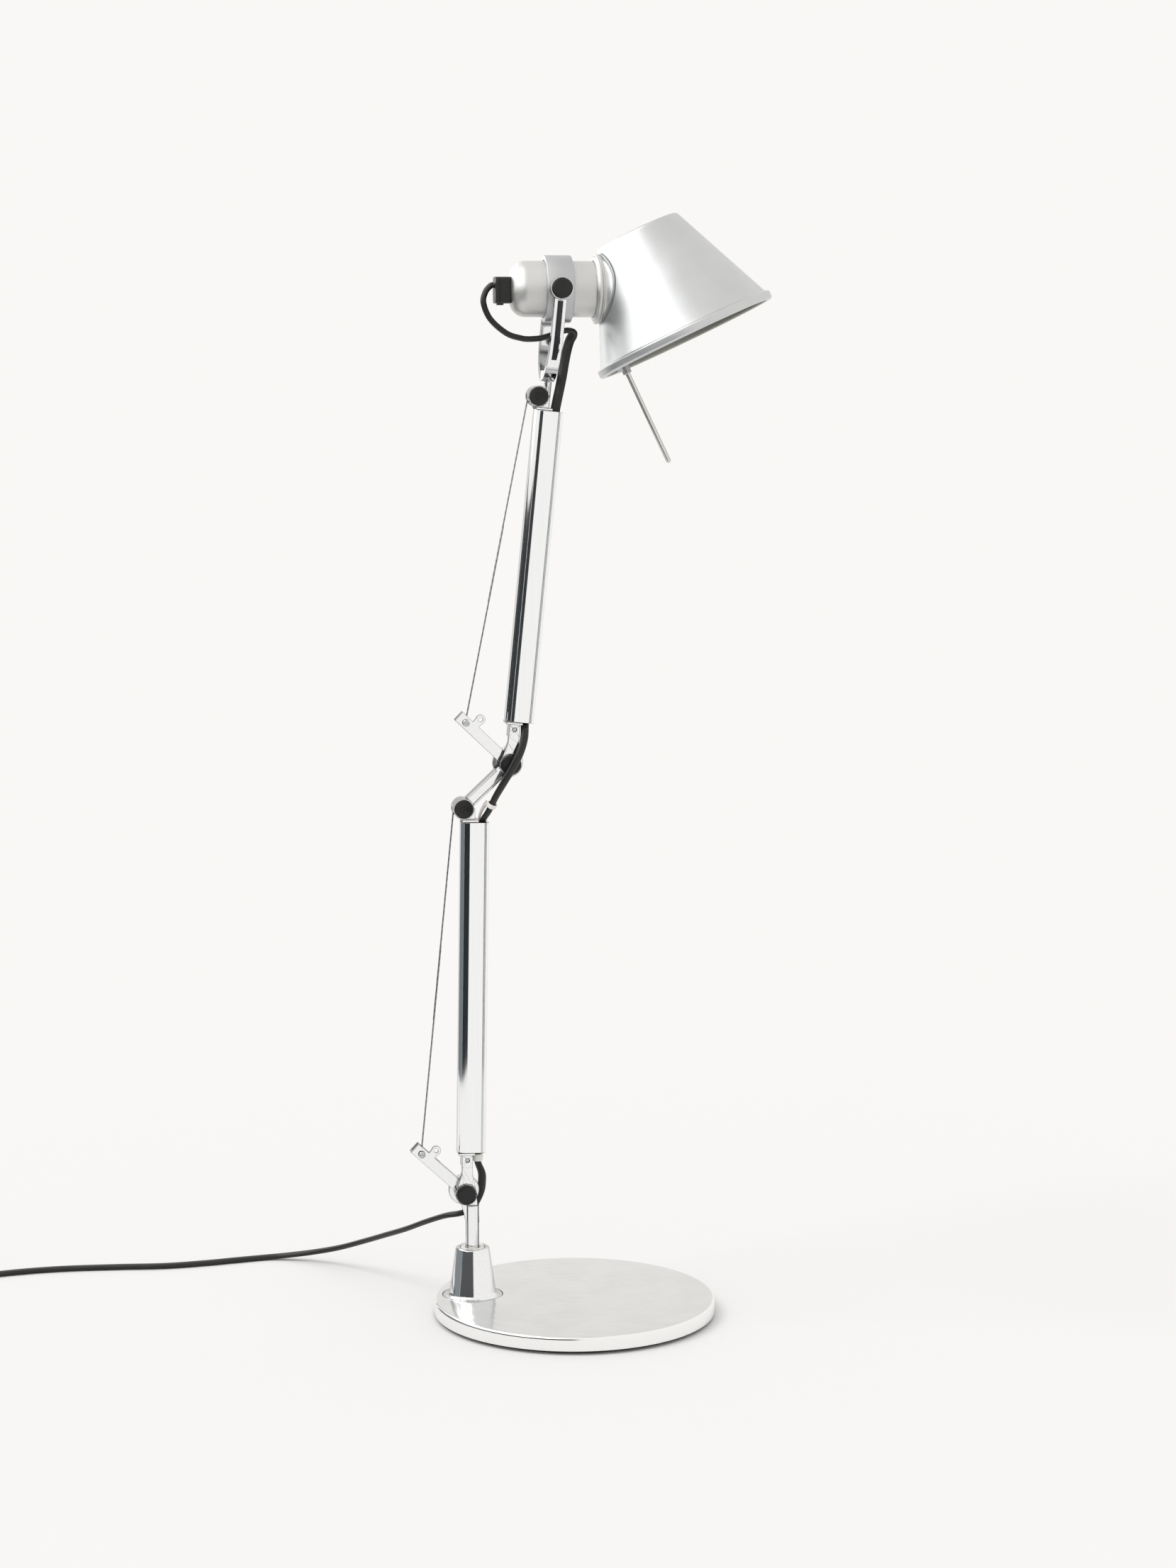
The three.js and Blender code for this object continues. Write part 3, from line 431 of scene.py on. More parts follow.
# %% Polished extrusion
def polished_extrusion():
    """Bright aluminium tube with faint lines along its length."""
    material, tree, shader, where = start("polished_extruded_aluminium", "#F6F8F9", 1.0, 0.06)
    stretch = add(tree, "ShaderNodeMapping", {"Scale": (1, 1, 0.01)}, {"Vector": where})
    lines = add(tree, "ShaderNodeTexNoise", {"Scale": per_mm(0.5), "Detail": 3},
                {"Vector": stretch.outputs["Vector"]})
    rough = add(tree, "ShaderNodeMapRange", {"To Min": 0.05, "To Max": 0.08}, {"Value": lines.outputs["Fac"]})
    bump = add(tree, "ShaderNodeBump", {"Strength": 0.02, "Distance": 0.00001},
               {"Height": lines.outputs["Fac"]})
    # Painted shade where the tube is seen edge-on, and a painted dark reflection on its rounded edges.
    tint = grazing_painted_shade(tree, two_tone(tree, lines.outputs["Fac"], "#F3F6F7", "#F8F9F9"), "#75777B", 0.6, 0.97)
    tint, rounded = edges_painted_dark(tree, tint, "#6E7073", 0.5)
    tree.links.new(rounded, bump.inputs["Normal"])
    tree.links.new(tint, shader.inputs["Base Color"])
    tree.links.new(rough.outputs["Result"], shader.inputs["Roughness"])
    tree.links.new(bump.outputs["Normal"], shader.inputs["Normal"])
    return material


EXTRUSION = polished_extrusion()

# %% [markdown]
# ### Turned and polished base cover
# The cover is faced on a lathe and then polished. Polishing takes the tool marks off but leaves the slow
# ripple of the feed, about eight millimetres from crest to crest and a few hundredths deep, so a reflection
# in it breaks into stripes. The rolled edge is painted lighter than the top, a painted highlight for the
# bright floor it mirrors.

# %% Turned cover
def turned_cover_painted_rim():
    """The faced and polished cover, with its feed ripple and a painted highlight on the rolled edge."""
    material, tree, shader, where = start("turned_aluminium_painted_rim_highlight", "#E2E2E1", 1.0, 0.14)
    period = 7.6 * MM
    rings = add(tree, "ShaderNodeTexWave", {
        "wave_type": "RINGS", "rings_direction": "Z", "Scale": 2 * math.pi / (20 * period),
        "Distortion": 0.3, "Detail": 1}, {"Vector": where})
    cloud = add(tree, "ShaderNodeTexNoise", {"Scale": per_mm(18), "Detail": 3}, {"Vector": where})
    place_of = add(tree, "ShaderNodeSeparateXYZ", links={"Vector": where})
    # Mask by height for the rolled edge, whose #F8F8F7 is a painted highlight.
    edge = add(tree, "ShaderNodeMapRange", {"From Min": 10.72 * MM, "From Max": 10.4 * MM},
               {"Value": place_of.outputs["Z"]})
    rough = add(tree, "ShaderNodeMapRange", {"To Min": 0.12, "To Max": 0.19}, {"Value": cloud.outputs["Fac"]})
    bump = add(tree, "ShaderNodeBump", {"Strength": 1.0, "Distance": 0.000035},
               {"Height": rings.outputs["Fac"]})
    top = two_tone(tree, cloud.outputs["Fac"], "#D9DAD9", "#DFE0DF")
    tint = add(tree, "ShaderNodeMix", {"data_type": "RGBA"}, {"Factor": edge.outputs["Result"]})
    tree.links.new(top, tint.inputs[6])
    tint.inputs[7].default_value = linear("#F8F8F7")
    tree.links.new(tint.outputs[2], shader.inputs["Base Color"])
    tree.links.new(rough.outputs["Result"], shader.inputs["Roughness"])
    tree.links.new(bump.outputs["Normal"], shader.inputs["Normal"])
    return material


COVER = turned_cover_painted_rim()

# %% [markdown]
# ### Satin anodised aluminium
# The shade, housing and ring are etched before anodising, which gives a very fine even grain and a wide soft
# highlight. Each has its own shade of silver, because each is a different alloy from a different process.

# %% Satin anodised finishes
def satin_anodised(name, low, high, roughness):
    """Anodised aluminium with a fine grain and a slightly uneven roughness."""
    material, tree, shader, where = start(name, low, 1.0, roughness)
    grain = add(tree, "ShaderNodeTexNoise", {"Scale": per_mm(0.35), "Detail": 2}, {"Vector": where})
    cloud = add(tree, "ShaderNodeTexNoise", {"Scale": per_mm(22), "Detail": 2}, {"Vector": where})
    rough = add(tree, "ShaderNodeMapRange", {"To Min": roughness - 0.04, "To Max": roughness + 0.05},
                {"Value": cloud.outputs["Fac"]})
    bump = add(tree, "ShaderNodeBump", {"Strength": 0.18, "Distance": 0.00004},
               {"Height": grain.outputs["Fac"]})
    tint = two_tone(tree, cloud.outputs["Fac"], low, high)
    tree.links.new(tint, shader.inputs["Base Color"])
    tree.links.new(rough.outputs["Result"], shader.inputs["Roughness"])
    tree.links.new(bump.outputs["Normal"], shader.inputs["Normal"])
    return material


SHADE_METAL = satin_anodised("satin_anodised_spun_aluminium", "#CBCDCD", "#D0D2D2", 0.4)
# The inside of the shade is painted darker, a painted shade for its dim inside and the dark lampholder it
# mirrors.
SHADE_INSIDE_PAINTED_DARK = satin_anodised("shade_inside_painted_shade_aluminium", "#9C9C97", "#A6A6A0", 0.6)
HOUSING_METAL = satin_anodised("satin_anodised_drawn_aluminium", "#CFCFCD", "#D5D5D3", 0.44)
RING_METAL = satin_anodised("satin_cast_aluminium", "#BBBCBE", "#C2C3C4", 0.4)

# %% [markdown]
# ### Bright drawn steel
# Pins, pulleys, springs and the handle rod are drawn bright and plated. Fine lines run with the drawing.

# %% Drawn steel and wire rope
def drawn_steel(name, hex_low, hex_high, roughness):
    """Steel wire or pin stock with a fine streaked roughness."""
    material, tree, shader, where = start(name, hex_low, 1.0, roughness)
    streak = add(tree, "ShaderNodeTexNoise", {"Scale": per_mm(0.4), "Detail": 4}, {"Vector": where})
    rough = add(tree, "ShaderNodeMapRange", {"To Min": roughness - 0.05, "To Max": roughness + 0.08},
                {"Value": streak.outputs["Fac"]})
    bump = add(tree, "ShaderNodeBump", {"Strength": 0.05, "Distance": 0.00001},
               {"Height": streak.outputs["Fac"]})
    # Painted shade: the tint darkens towards #3C3C3D where the steel is seen edge-on.
    tint = grazing_painted_shade(tree, two_tone(tree, streak.outputs["Fac"], hex_low, hex_high), "#3C3C3D", 0.25, 0.75)
    tree.links.new(tint, shader.inputs["Base Color"])
    tree.links.new(rough.outputs["Result"], shader.inputs["Roughness"])
    tree.links.new(bump.outputs["Normal"], shader.inputs["Normal"])
    return material


STEEL = drawn_steel("bright_drawn_steel", "#B9BBBE", "#CBCDCF", 0.22)
PLATED = drawn_steel("nickel_plated_steel_rod", "#D2D1CE", "#DEDDDA", 0.12)
ROPE = drawn_steel("twisted_steel_wire_rope", "#8E8F92", "#A9AAAC", 0.34)

# %% [markdown]
# ### Moulded ABS and PVC
# The caps, switch block and plug are black ABS from a lightly spark-eroded mould: satin, with a fine grain.
# The lead's sheath is extruded PVC: smoother along its length, a little greyer, with handling haze.

# %% Black plastics
def moulded_abs():
    """Black moulded plastic with a fine grain."""
    material, tree, shader, where = start("moulded_black_abs", "#151414", 0.0, 0.42,
                                          **{"Specular IOR Level": 0.4})
    grain = add(tree, "ShaderNodeTexNoise", {"Scale": per_mm(0.3), "Detail": 2}, {"Vector": where})
    cloud = add(tree, "ShaderNodeTexNoise", {"Scale": per_mm(6), "Detail": 2}, {"Vector": where})
    rough = add(tree, "ShaderNodeMapRange", {"To Min": 0.36, "To Max": 0.5}, {"Value": cloud.outputs["Fac"]})
    bump = add(tree, "ShaderNodeBump", {"Strength": 0.3, "Distance": 0.00004},
               {"Height": grain.outputs["Fac"]})
    tree.links.new(two_tone(tree, cloud.outputs["Fac"], "#131212", "#1B1A1A"), shader.inputs["Base Color"])
    tree.links.new(rough.outputs["Result"], shader.inputs["Roughness"])
    tree.links.new(bump.outputs["Normal"], shader.inputs["Normal"])
    return material


def extruded_pvc():
    """The black sheath of a cord, with a slightly uneven skin."""
    material, tree, shader, where = start("extruded_black_pvc", "#191919", 0.0, 0.4,
                                          **{"Specular IOR Level": 0.42})
    haze = add(tree, "ShaderNodeTexNoise", {"Scale": per_mm(9), "Detail": 3}, {"Vector": where})
    skin = add(tree, "ShaderNodeTexNoise", {"Scale": per_mm(0.7), "Detail": 2}, {"Vector": where})
    rough = add(tree, "ShaderNodeMapRange", {"To Min": 0.34, "To Max": 0.48}, {"Value": haze.outputs["Fac"]})
    bump = add(tree, "ShaderNodeBump", {"Strength": 0.15, "Distance": 0.00005},
               {"Height": skin.outputs["Fac"]})
    tree.links.new(two_tone(tree, haze.outputs["Fac"], "#161616", "#1F1F1F"), shader.inputs["Base Color"])
    tree.links.new(rough.outputs["Result"], shader.inputs["Roughness"])
    tree.links.new(bump.outputs["Normal"], shader.inputs["Normal"])
    return material


ABS = moulded_abs()
PVC = extruded_pvc()

# %% [markdown]
# ### Clear nylon, opal glass, felt and iron
# The cord clips and the stem bush are natural nylon, which glows a little where light passes through it. The
# bulb is opal glass. Nobody sees the felt and the iron until the lamp is picked up, but both are there.

# %% Small finishes
def natural_nylon():
    """Unpigmented nylon that lets a little light in."""
    material, tree, shader, where = start(
        "natural_moulded_nylon", "#E6E5DF", 0.0, 0.35,
        **{"Subsurface Weight": 0.3, "Subsurface Scale": 0.002})
    cloud = add(tree, "ShaderNodeTexNoise", {"Scale": per_mm(3), "Detail": 2}, {"Vector": where})
    rough = add(tree, "ShaderNodeMapRange", {"To Min": 0.28, "To Max": 0.42}, {"Value": cloud.outputs["Fac"]})
    tree.links.new(rough.outputs["Result"], shader.inputs["Roughness"])
    tree.links.new(two_tone(tree, cloud.outputs["Fac"], "#DEDDD6", "#ECEBE6"), shader.inputs["Base Color"])
    return material


def opal_glass():
    """Faintly clouded white glass under a clear gloss."""
    material, tree, shader, where = start("opal_glass", "#F4F3EE", 0.0, 0.18, **{"Coat Weight": 0.4})
    cloud = add(tree, "ShaderNodeTexNoise", {"Scale": per_mm(10), "Detail": 1}, {"Vector": where})
    tree.links.new(two_tone(tree, cloud.outputs["Fac"], "#F0EFE9", "#F8F7F3"), shader.inputs["Base Color"])
    return material


def pressed_felt():
    """Black felt with a fibrous surface."""
    material, tree, shader, where = start("pressed_wool_felt", "#262626", 0.0, 0.95, **{"Sheen Weight": 0.4})
    fibre = add(tree, "ShaderNodeTexNoise", {"Scale": per_mm(0.6), "Detail": 6}, {"Vector": where})
    bump = add(tree, "ShaderNodeBump", {"Strength": 0.6, "Distance": 0.0003},
               {"Height": fibre.outputs["Fac"]})
    tree.links.new(two_tone(tree, fibre.outputs["Fac"], "#1F1F1F", "#333231"), shader.inputs["Base Color"])
    tree.links.new(bump.outputs["Normal"], shader.inputs["Normal"])
    return material


def cast_iron():
    """Rough grey iron for the weight inside the base."""
    material, tree, shader, where = start("sand_cast_iron", "#3A3B3D", 0.8, 0.6)
    grit = add(tree, "ShaderNodeTexNoise", {"Scale": per_mm(0.8), "Detail": 5}, {"Vector": where})
    bump = add(tree, "ShaderNodeBump", {"Strength": 0.5, "Distance": 0.0003}, {"Height": grit.outputs["Fac"]})
    tree.links.new(two_tone(tree, grit.outputs["Fac"], "#303133", "#4A4B4D"), shader.inputs["Base Color"])
    tree.links.new(bump.outputs["Normal"], shader.inputs["Normal"])
    return material


NYLON, OPAL, FELT, IRON = natural_nylon(), opal_glass(), pressed_felt(), cast_iron()
print("materials:", len(bpy.data.materials))

# %% [markdown]
# ## The lead
# One flat two-core lead feeds the lamp. It leaves the base of the lower arm, runs behind the stem, drops to
# the table and goes off to the left. What isn't needed is wound in a coil: three turns wide, three high, each
# turn one cord width from the next, with the flat plug beside it.

# %% Free lead: route, coil and plug end
FLAT_WIDTH, FLAT_THICK = 5.0, 3.4
FLOOR = 0.0018
ROUTE = [
    (-0.0638, 0.0215, 0.0601), (-0.069, 0.0196, 0.0596), (-0.076, 0.0245, 0.0574), (-0.086, 0.040, 0.050),
    (-0.0965, 0.058, 0.041), (-0.107, 0.079, 0.032), (-0.1185, 0.101, 0.0225), (-0.133, 0.122, 0.013),
    (-0.149, 0.1375, 0.0064), (-0.165, 0.145, 0.003), (-0.178, 0.147, FLOOR), (-0.198, 0.1435, FLOOR),
    (-0.217, 0.140, FLOOR), (-0.243, 0.1375, FLOOR), (-0.275, 0.140, FLOOR), (-0.312, 0.141, FLOOR),
    (-0.346, 0.136, FLOOR), (-0.372, 0.126, FLOOR), (-0.396, 0.107, FLOOR),
]
COIL = Vector((-0.436, 0.120, 0))
INNER_TURN = 0.024
TURNS = 6 + 217 / 360
ARRIVE = math.radians(-53)


def coil_point(turn):
    """A point of the coil after that many turns: in for a layer, out for the next, then up again."""
    layer = min(int(turn / 3), 2)
    within = turn - 3 * layer
    whole = min(int(within), 2)
    ease = min(max((within - whole - 0.75) / 0.25, 0), 1)
    ease = ease * ease * (3 - 2 * ease)
    step = min(whole + ease, 2)
    outward = layer == 1
    radius = INNER_TURN + FLAT_WIDTH * MM * (step if outward else 2 - step)
    rise = ease if whole == 2 else 0
    height = FLOOR + (layer + rise) * (FLAT_THICK + 0.1) * MM
    angle = ARRIVE - 2 * math.pi * turn
    return COIL + Vector((radius * math.cos(angle), radius * math.sin(angle), height))


coil = [coil_point(i / 28) for i in range(int(TURNS * 28) + 1)]
plug_low, plug_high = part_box("plug")
cord_end = Vector((plug_low.x, (plug_low.y + plug_high.y) / 2, 0.0067))
tail = [cord_end - Vector((0.016, 0, -0.0012)), cord_end - Vector((0.008, 0, -0.0003)), cord_end]
lead_path = smooth_path(ROUTE, 8) + coil + smooth_path(tail, 3)
lead_mm = [p / MM for p in lead_path]
lead_length = sum((b - a).length for a, b in zip(lead_path, lead_path[1:]))
print("free lead:", round(lead_length, 3), "m in", len(lead_path), "points")

# %% [markdown]
# A flat lead is two round cores side by side, so its section has a shallow waist on each face.

# %% Free lead: mesh
def twin_core(width, thick, sides=20):
    """An oval section with a waist in the middle of each flat face."""
    section = []
    for i in range(sides):
        angle = 2 * math.pi * i / sides
        waist = 1 - 0.12 * math.exp(-((math.cos(angle)) / 0.3) ** 2)
        section.append((width / 2 * math.cos(angle), thick / 2 * math.sin(angle) * waist))
    return section


FLAT_SECTION = twin_core(FLAT_WIDTH, FLAT_THICK)
lead = piece("mains_lead", swept(lead_mm, FLAT_SECTION), Matrix.Scale(MM, 4), None, PVC, "cord_sheath",
             "mains_cord", "cord_coil")
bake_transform(lead)

# %% Held lead: the stretches that the lamp carries
BROADSIDE = oval(5.0, 3.5, 20)
EDGEWAYS = oval(3.5, 5.0, 20)
ARM_PLANE = Matrix.Translation(STEM) @ Matrix.Scale(MM, 4)


def in_arm(at, x, y, z):
    """A point given in an arm's own millimetres, as millimetres in the arm plane."""
    world = at @ Vector((x, y, z))
    return (world - STEM) / MM


def held_cord(name, points, a, b, section=BROADSIDE, twist=0.0):
    """A stretch of lead swept along a smooth curve through the points; it rides on body a when there is no
    body b.
    """
    path = smooth_path(points, 7)
    sheath = swept(path, section, twist, up=Vector((0, 1, 0)))
    made = piece(name + "_sheath", sheath, ARM_PLANE, None if b else a, PVC, "cord_sheath", name)
    if b:
        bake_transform(made)
    return made


LOWER_TOP, UPPER_TOP, TUBE_FOOT = 226.6, 210.2, 25.6
rear_face = (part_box("switch_body")[0].x - STEM.x) / MM
held_cord("head_cord", [
    (rear_face - 0.4, 0, 617.7), (13.2, 0, 617.2), (10.2, 0, 613.5), (9.1, 0, 607.3), (13.2, 0, 597.9),
    (22.8, 0, 589.7), (31.5, 0, 586.9), (35.8, 0, 586.4)], "head", "ring",
    section=EDGEWAYS)
held_cord("fork_cord", [
    (36, 0, 586.4), (42, 0, 586.9), (47.8, 0, 588.3), (52, 0, 589.8), (55.6, 0, 591.1)], "ring", "fork",
    section=EDGEWAYS)
held_cord("neck_cord", [
    (55.8, 0, 591.2), (59.4, 0.4, 591.6), (62.2, 2.2, 590.9), (62.6, 4.4, 588.9), (61, 6, 585.4),
    (59.4, 6, 580), (57.6, 3.8, 573), (55.4, 1, 562.9), in_arm(AT_UPPER, 7.5, 0, UPPER_TOP + 1),
    in_arm(AT_UPPER, 7.4, 0, UPPER_TOP - 8)], "fork", "upper_arm",
    section=oval(3.4, 5.8, 20))
held_cord("upper_tube_cord", [
    in_arm(AT_UPPER, 7.4, 0, UPPER_TOP - 8.3), in_arm(AT_UPPER, 7.4, 0, TUBE_FOOT + 8.3)],
          "upper_arm", None)
held_cord("mid_cord", [
    in_arm(AT_UPPER, 7.4, 0, TUBE_FOOT + 8), in_arm(AT_UPPER, 7, -1.5, TUBE_FOOT),
    in_arm(AT_UPPER, 6.6, -7, 16.7),
    (28.4, -11, 343), (23.9, -11.3, 334.2), (18.8, -10.6, 325.4), (14.1, -8, 316.6), (10.4, -4.5, 307.8),
    in_arm(AT_LOWER, 7.9, -1.4, LOWER_TOP), in_arm(AT_LOWER, 7.6, 0, LOWER_TOP - 8)],
    "upper_arm", "lower_arm", twist=0.016)
held_cord("lower_tube_cord", [
    in_arm(AT_LOWER, 7.6, 0, LOWER_TOP - 8.3), in_arm(AT_LOWER, 7.4, 0, TUBE_FOOT + 8.3)],
          "lower_arm", None)
held_cord("lower_cord", [
    in_arm(AT_LOWER, 7.4, 0, TUBE_FOOT + 8), in_arm(AT_LOWER, 7.4, 0, TUBE_FOOT),
    in_arm(AT_LOWER, 7.4, 0, 19),
    (6.2, 3, 85.5), (7, 8.4, 78), (6.8, 12.5, 71.5), (4.2, 12.6, 65.2), (0.4, 10.6, 61.4), (-2.6, 8.2, 60.3)],
    "lower_arm", "stem", section=EDGEWAYS, twist=0.04)
print("held stretches of lead: 7")

# %% [markdown]
# ## Plug and cord tie
# The plug is a slim two-pin plug: a soft-cornered moulding with a ribbed strain relief and two plated pins.
# A strip of hook-and-loop keeps the coil round.

# %% Plug
def make_plug():
    """The shell, its ribbed strain relief and the two round pins."""
    at = Matrix.Translation(((plug_low.x + 0.029), (plug_low.y + plug_high.y) / 2, 0)) \
        @ Matrix.Rotation(math.pi / 2, 4, "Z") @ Matrix.Scale(MM, 4)
    outline = [(-10, 0.4), (10, 0.4), (12.3, 4), (12.3, 16.5), (6.5, 26), (-6.5, 26), (-12.3, 16.5),
               (-12.3, 4)]
    piece("plug_shell", extruded(outline, 0.4, 13, bevel=1.6), at, "base", ABS, "black_plastic", "plug")
    relief = [(0, 14.6)]
    for i in range(5):
        y = 15 + 3 * i
        relief += [(4.6 - 0.32 * i, y), (4.6 - 0.32 * i, y + 1.7), (3.5 - 0.2 * i, y + 1.9),
                   (3.5 - 0.2 * i, y + 2.8)]
    relief += [(0, 29)]
    piece("plug_relief", turned(relief, 28, "Y", (0, 0, 6.7)), at, "base", ABS, "black_plastic")
    pin = [(0, 0.5), (2, 0.5), (2, -18.4), (1.5, -19.2), (0, -19.3)]
    pins = combined(turned(pin, 24, "Y", (-9.5, 0, 6.7)), turned(pin, 24, "Y", (9.5, 0, 6.7)), "UNION")
    piece("plug_pins", pins, at, "base", STEEL, "steel")


make_plug()

# %% Cord tie
def make_tie():
    """A loop of strap round the three layers of the coil."""
    section = [(-5, -0.35), (5, -0.35), (5, 0.35), (-5, 0.35)]
    centre, half_wide, half_tall, soft = Vector((-29, 0, 5.6)), 7.4, 5.2, 2.2
    loop = arc(centre.x + half_wide - soft, centre.z + half_tall - soft, soft, 0, 90, 4) \
        + arc(centre.x - half_wide + soft, centre.z + half_tall - soft, soft, 90, 180, 4) \
        + arc(centre.x - half_wide + soft, centre.z - half_tall + soft, soft, 180, 270, 4) \
        + arc(centre.x + half_wide - soft, centre.z - half_tall + soft, soft, 270, 360, 4)
    path = [Vector((x, 0, max(z, 0.5))) for x, z in loop + loop[:1]]
    return swept(path, section, up=Vector((1, 0, 0)))


# %% [markdown]
# ## Base
# A pressed cover sits over an iron disc on a felt pad. The cone socket stands through a close hole in the
# cover, off centre, so the weight is under the head. Only a hairline shows round its flange.

# %% Base pieces
for name, material in (("base_pad", FELT), ("base_weight", IRON), ("socket_bolt", STEEL)):
    nodes[name].data.materials[0] = material

STEM_XY = (STEM.x / MM, STEM.y / MM)


def make_base():
    """The turned cover with a hole for the stem."""
    radius, top, bottom, wall, soft = 85, 10.8, 2.2, 1.3, 2
    profile = [(0, top - wall), (radius - wall, top - wall), (radius - wall, bottom + 0.2),
               (radius - wall + 0.2, bottom), (radius - 0.3, bottom), (radius, bottom + 0.3)] \
        + arc(radius - soft, top - soft, soft, 0, 90, 8) + [(0, top)]
    cover = turned(profile, 160)
    hole = cylinder(18.5, 0, 20, "Z", (*STEM_XY, 0), 72)
    piece("cover_shell", combined(cover, hole, "DIFFERENCE"), AT_BASE, "base", COVER, "polished_aluminium",
          "base_cover")


def make_cone():
    """The turned cone that the stem stands in."""
    top, seat, face = 40.5, 9.5, 10.8
    profile = [(3.3, seat), (18, seat), (18.2, seat + 0.2), (18.2, face - 0.3), (17.9, face)] \
        + arc(17, face + 3, 3, 270, 190, 7) \
        + [(10.3, top - 1.1), (10, top - 0.4), (9.4, top), (7.8, top), (7.5, top - 0.3), (7.5, 17.3),
           (3.3, 17.3)]
    piece("cone_turning", turned(profile, 72), AT_STEM, "base", TURNING, "polished_aluminium", "cone_socket")
    bush = [(4.4, 17.6), (7.2, 17.6), (7.2, top - 0.3), (6.9, top), (4.8, top), (4.4, top - 0.4)]
    piece("bush_ring", turned(bush, 48), AT_STEM, "base", NYLON, "clear_plastic", "swivel_bush")


make_base()
make_cone()
TIE_TURN = math.radians(200)
tie_at = Matrix.Translation(COIL) @ Matrix.Rotation(TIE_TURN, 4, "Z") @ Matrix.Scale(MM, 4)
piece("cord_tie", make_tie(), tie_at,
      "base", FELT, "felt")
print("base pieces done")

# %% [markdown]
# ## Castings
# The stem, both feet, both heads and the fork keep their exact solids, because every lever, slot and lug on
# them already has its working shape. The casting finish rounds their edges where light meets them.

# %% Finish the castings
for name in ("lower_foot", "upper_foot", "upper_head"):
    nodes[name].data.materials[0] = CASTING
    mark_edges(nodes[name].data)

# %% [markdown]
# The levers are cast with a shallow panel in the face, which saves metal and leaves two bright rails. The
# polishing wheel can't reach its sloping walls; they are painted dark grey, a painted reflection of the dark
# room.

# %% Panels in the levers
LEVER_ANGLE = math.radians(137)
PANEL_WIDTH, PANEL_DEPTH, LEVER_FACE = 4.6, 0.9, -1.9


def capsule(radius):
    """The outline of a lever panel at a given half width."""
    return arc(27.5, 0, radius, -90, 90, 8) + arc(10.5, 0, radius, 90, 270, 8)


def panelled(name, new_name, pivot):
    """Cuts the sunk panel into one casting and paints its sloping walls dark grey, a painted reflection."""
    work = bmesh.new()
    work.from_mesh(nodes[name].data)
    work.transform(ARM_PLANE.inverted())
    tool = extruded(capsule(PANEL_WIDTH / 2 + 0.25), LEVER_FACE - 0.3, LEVER_FACE + PANEL_DEPTH,
                    top=capsule(PANEL_WIDTH / 2 - 0.75))
    stand = Matrix(((1, 0, 0, 0), (0, 0, 1, 0), (0, 1, 0, 0), (0, 0, 0, 1)))
    tool.transform(Matrix.Translation(pivot) @ Matrix.Rotation(-LEVER_ANGLE, 4, "Y") @ stand)
    bmesh.ops.recalc_face_normals(tool, faces=tool.faces)
    made = piece(new_name, combined(work, tool, "DIFFERENCE"), ARM_PLANE,
                 name if name == "stem" else "lower_arm",
                 CASTING, "polished_aluminium", name)
    made.data.materials.append(GROOVE_PAINTED_DARK)
    # Sloping panel walls take the dark grey painted reflection.
    for polygon in made.data.polygons:
        if 0.55 < abs(polygon.normal.y) < 0.72:
            polygon.material_index = 1


STEM_PIVOT = (PIVOT - STEM) / MM
panelled("stem", "stem_casting", STEM_PIVOT)
panelled("lower_head", "lower_head_casting", (MID - STEM) / MM)

# %% [markdown]
# The fork's arms have a long groove down the outside. Its floor slopes and is painted dark grey, a painted
# reflection of the dark room, so it reads as a dull dark stripe beside the buffed face.

# %% Grooves in the fork
FORK_X, FORK_BOTTOM, FORK_PIVOT, FORK_OUTER = 1, 227.5, 281.4, 23.9


def bezier(a, b, c, d, t):
    """The point at t on a cubic curve."""
    u = 1 - t
    return Vector(a) * u ** 3 + Vector(b) * 3 * u * u * t + Vector(c) * 3 * u * t * t + Vector(d) * t ** 3


def groove_cutter(side):
    """A strip that follows one arm's outer face and cuts a one-sided V in it."""
    o, z = FORK_OUTER, FORK_BOTTOM
    line = [Vector((o, FORK_PIVOT - 7.4)), Vector((o, z + 27.2))]
    line += [bezier((o, z + 27), (o, z + 11), (13, z), (0, z), t / 20) for t in range(1, 8)]
    work = bmesh.new()
    rings = []
    for i, p in enumerate(line):
        way = (line[min(i + 1, len(line) - 1)] - line[max(i - 1, 0)]).normalized()
        out = Vector((-way.y, way.x))
        corners = ((-1.5, -1.05), (1.5, -0.12), (1.5, 2), (-1.5, 2))
        rings.append([work.verts.new((FORK_X + dx, side * (p.x + out.x * dn), p.y + out.y * dn))
                      for dx, dn in corners])
    for low, high in zip(rings, rings[1:]):
        for k in range(4):
            work.faces.new((low[k - 1], low[k], high[k], high[k - 1]))
    work.faces.new(rings[0])
    work.faces.new(rings[-1])
    bmesh.ops.recalc_face_normals(work, faces=work.faces)
    return work


def make_fork():
    """The fork casting with a groove down the outside of each arm."""
    work = bmesh.new()
    work.from_mesh(nodes["fork"].data)
    work.transform(AT_UPPER.inverted())
    for side in (-1, 1):
        y0, y1 = sorted((side * (FORK_OUTER - 1.6), side * (FORK_OUTER - 0.01)))
        fill = box(FORK_X - 1.6, FORK_X + 1.6, y0, y1, FORK_BOTTOM + 27.5, FORK_PIVOT - 8.4)
        work = combined(combined(work, fill, "UNION"), groove_cutter(side), "DIFFERENCE")
    made = piece("fork_casting", work, AT_UPPER, "fork", CASTING, "polished_aluminium", "fork")
    made.data.materials.append(GROOVE_PAINTED_DARK)
    # Sloping groove floors take the dark grey painted reflection.
    to_local = AT_UPPER.inverted().to_3x3()
    for polygon in made.data.polygons:
        facing = (to_local @ polygon.normal).normalized()
        if 0.2 < abs(facing.x) < 0.45 and abs(facing.y) + abs(facing.z) > 0.8 and polygon.area > 1e-6:
            polygon.material_index = 1


make_fork()

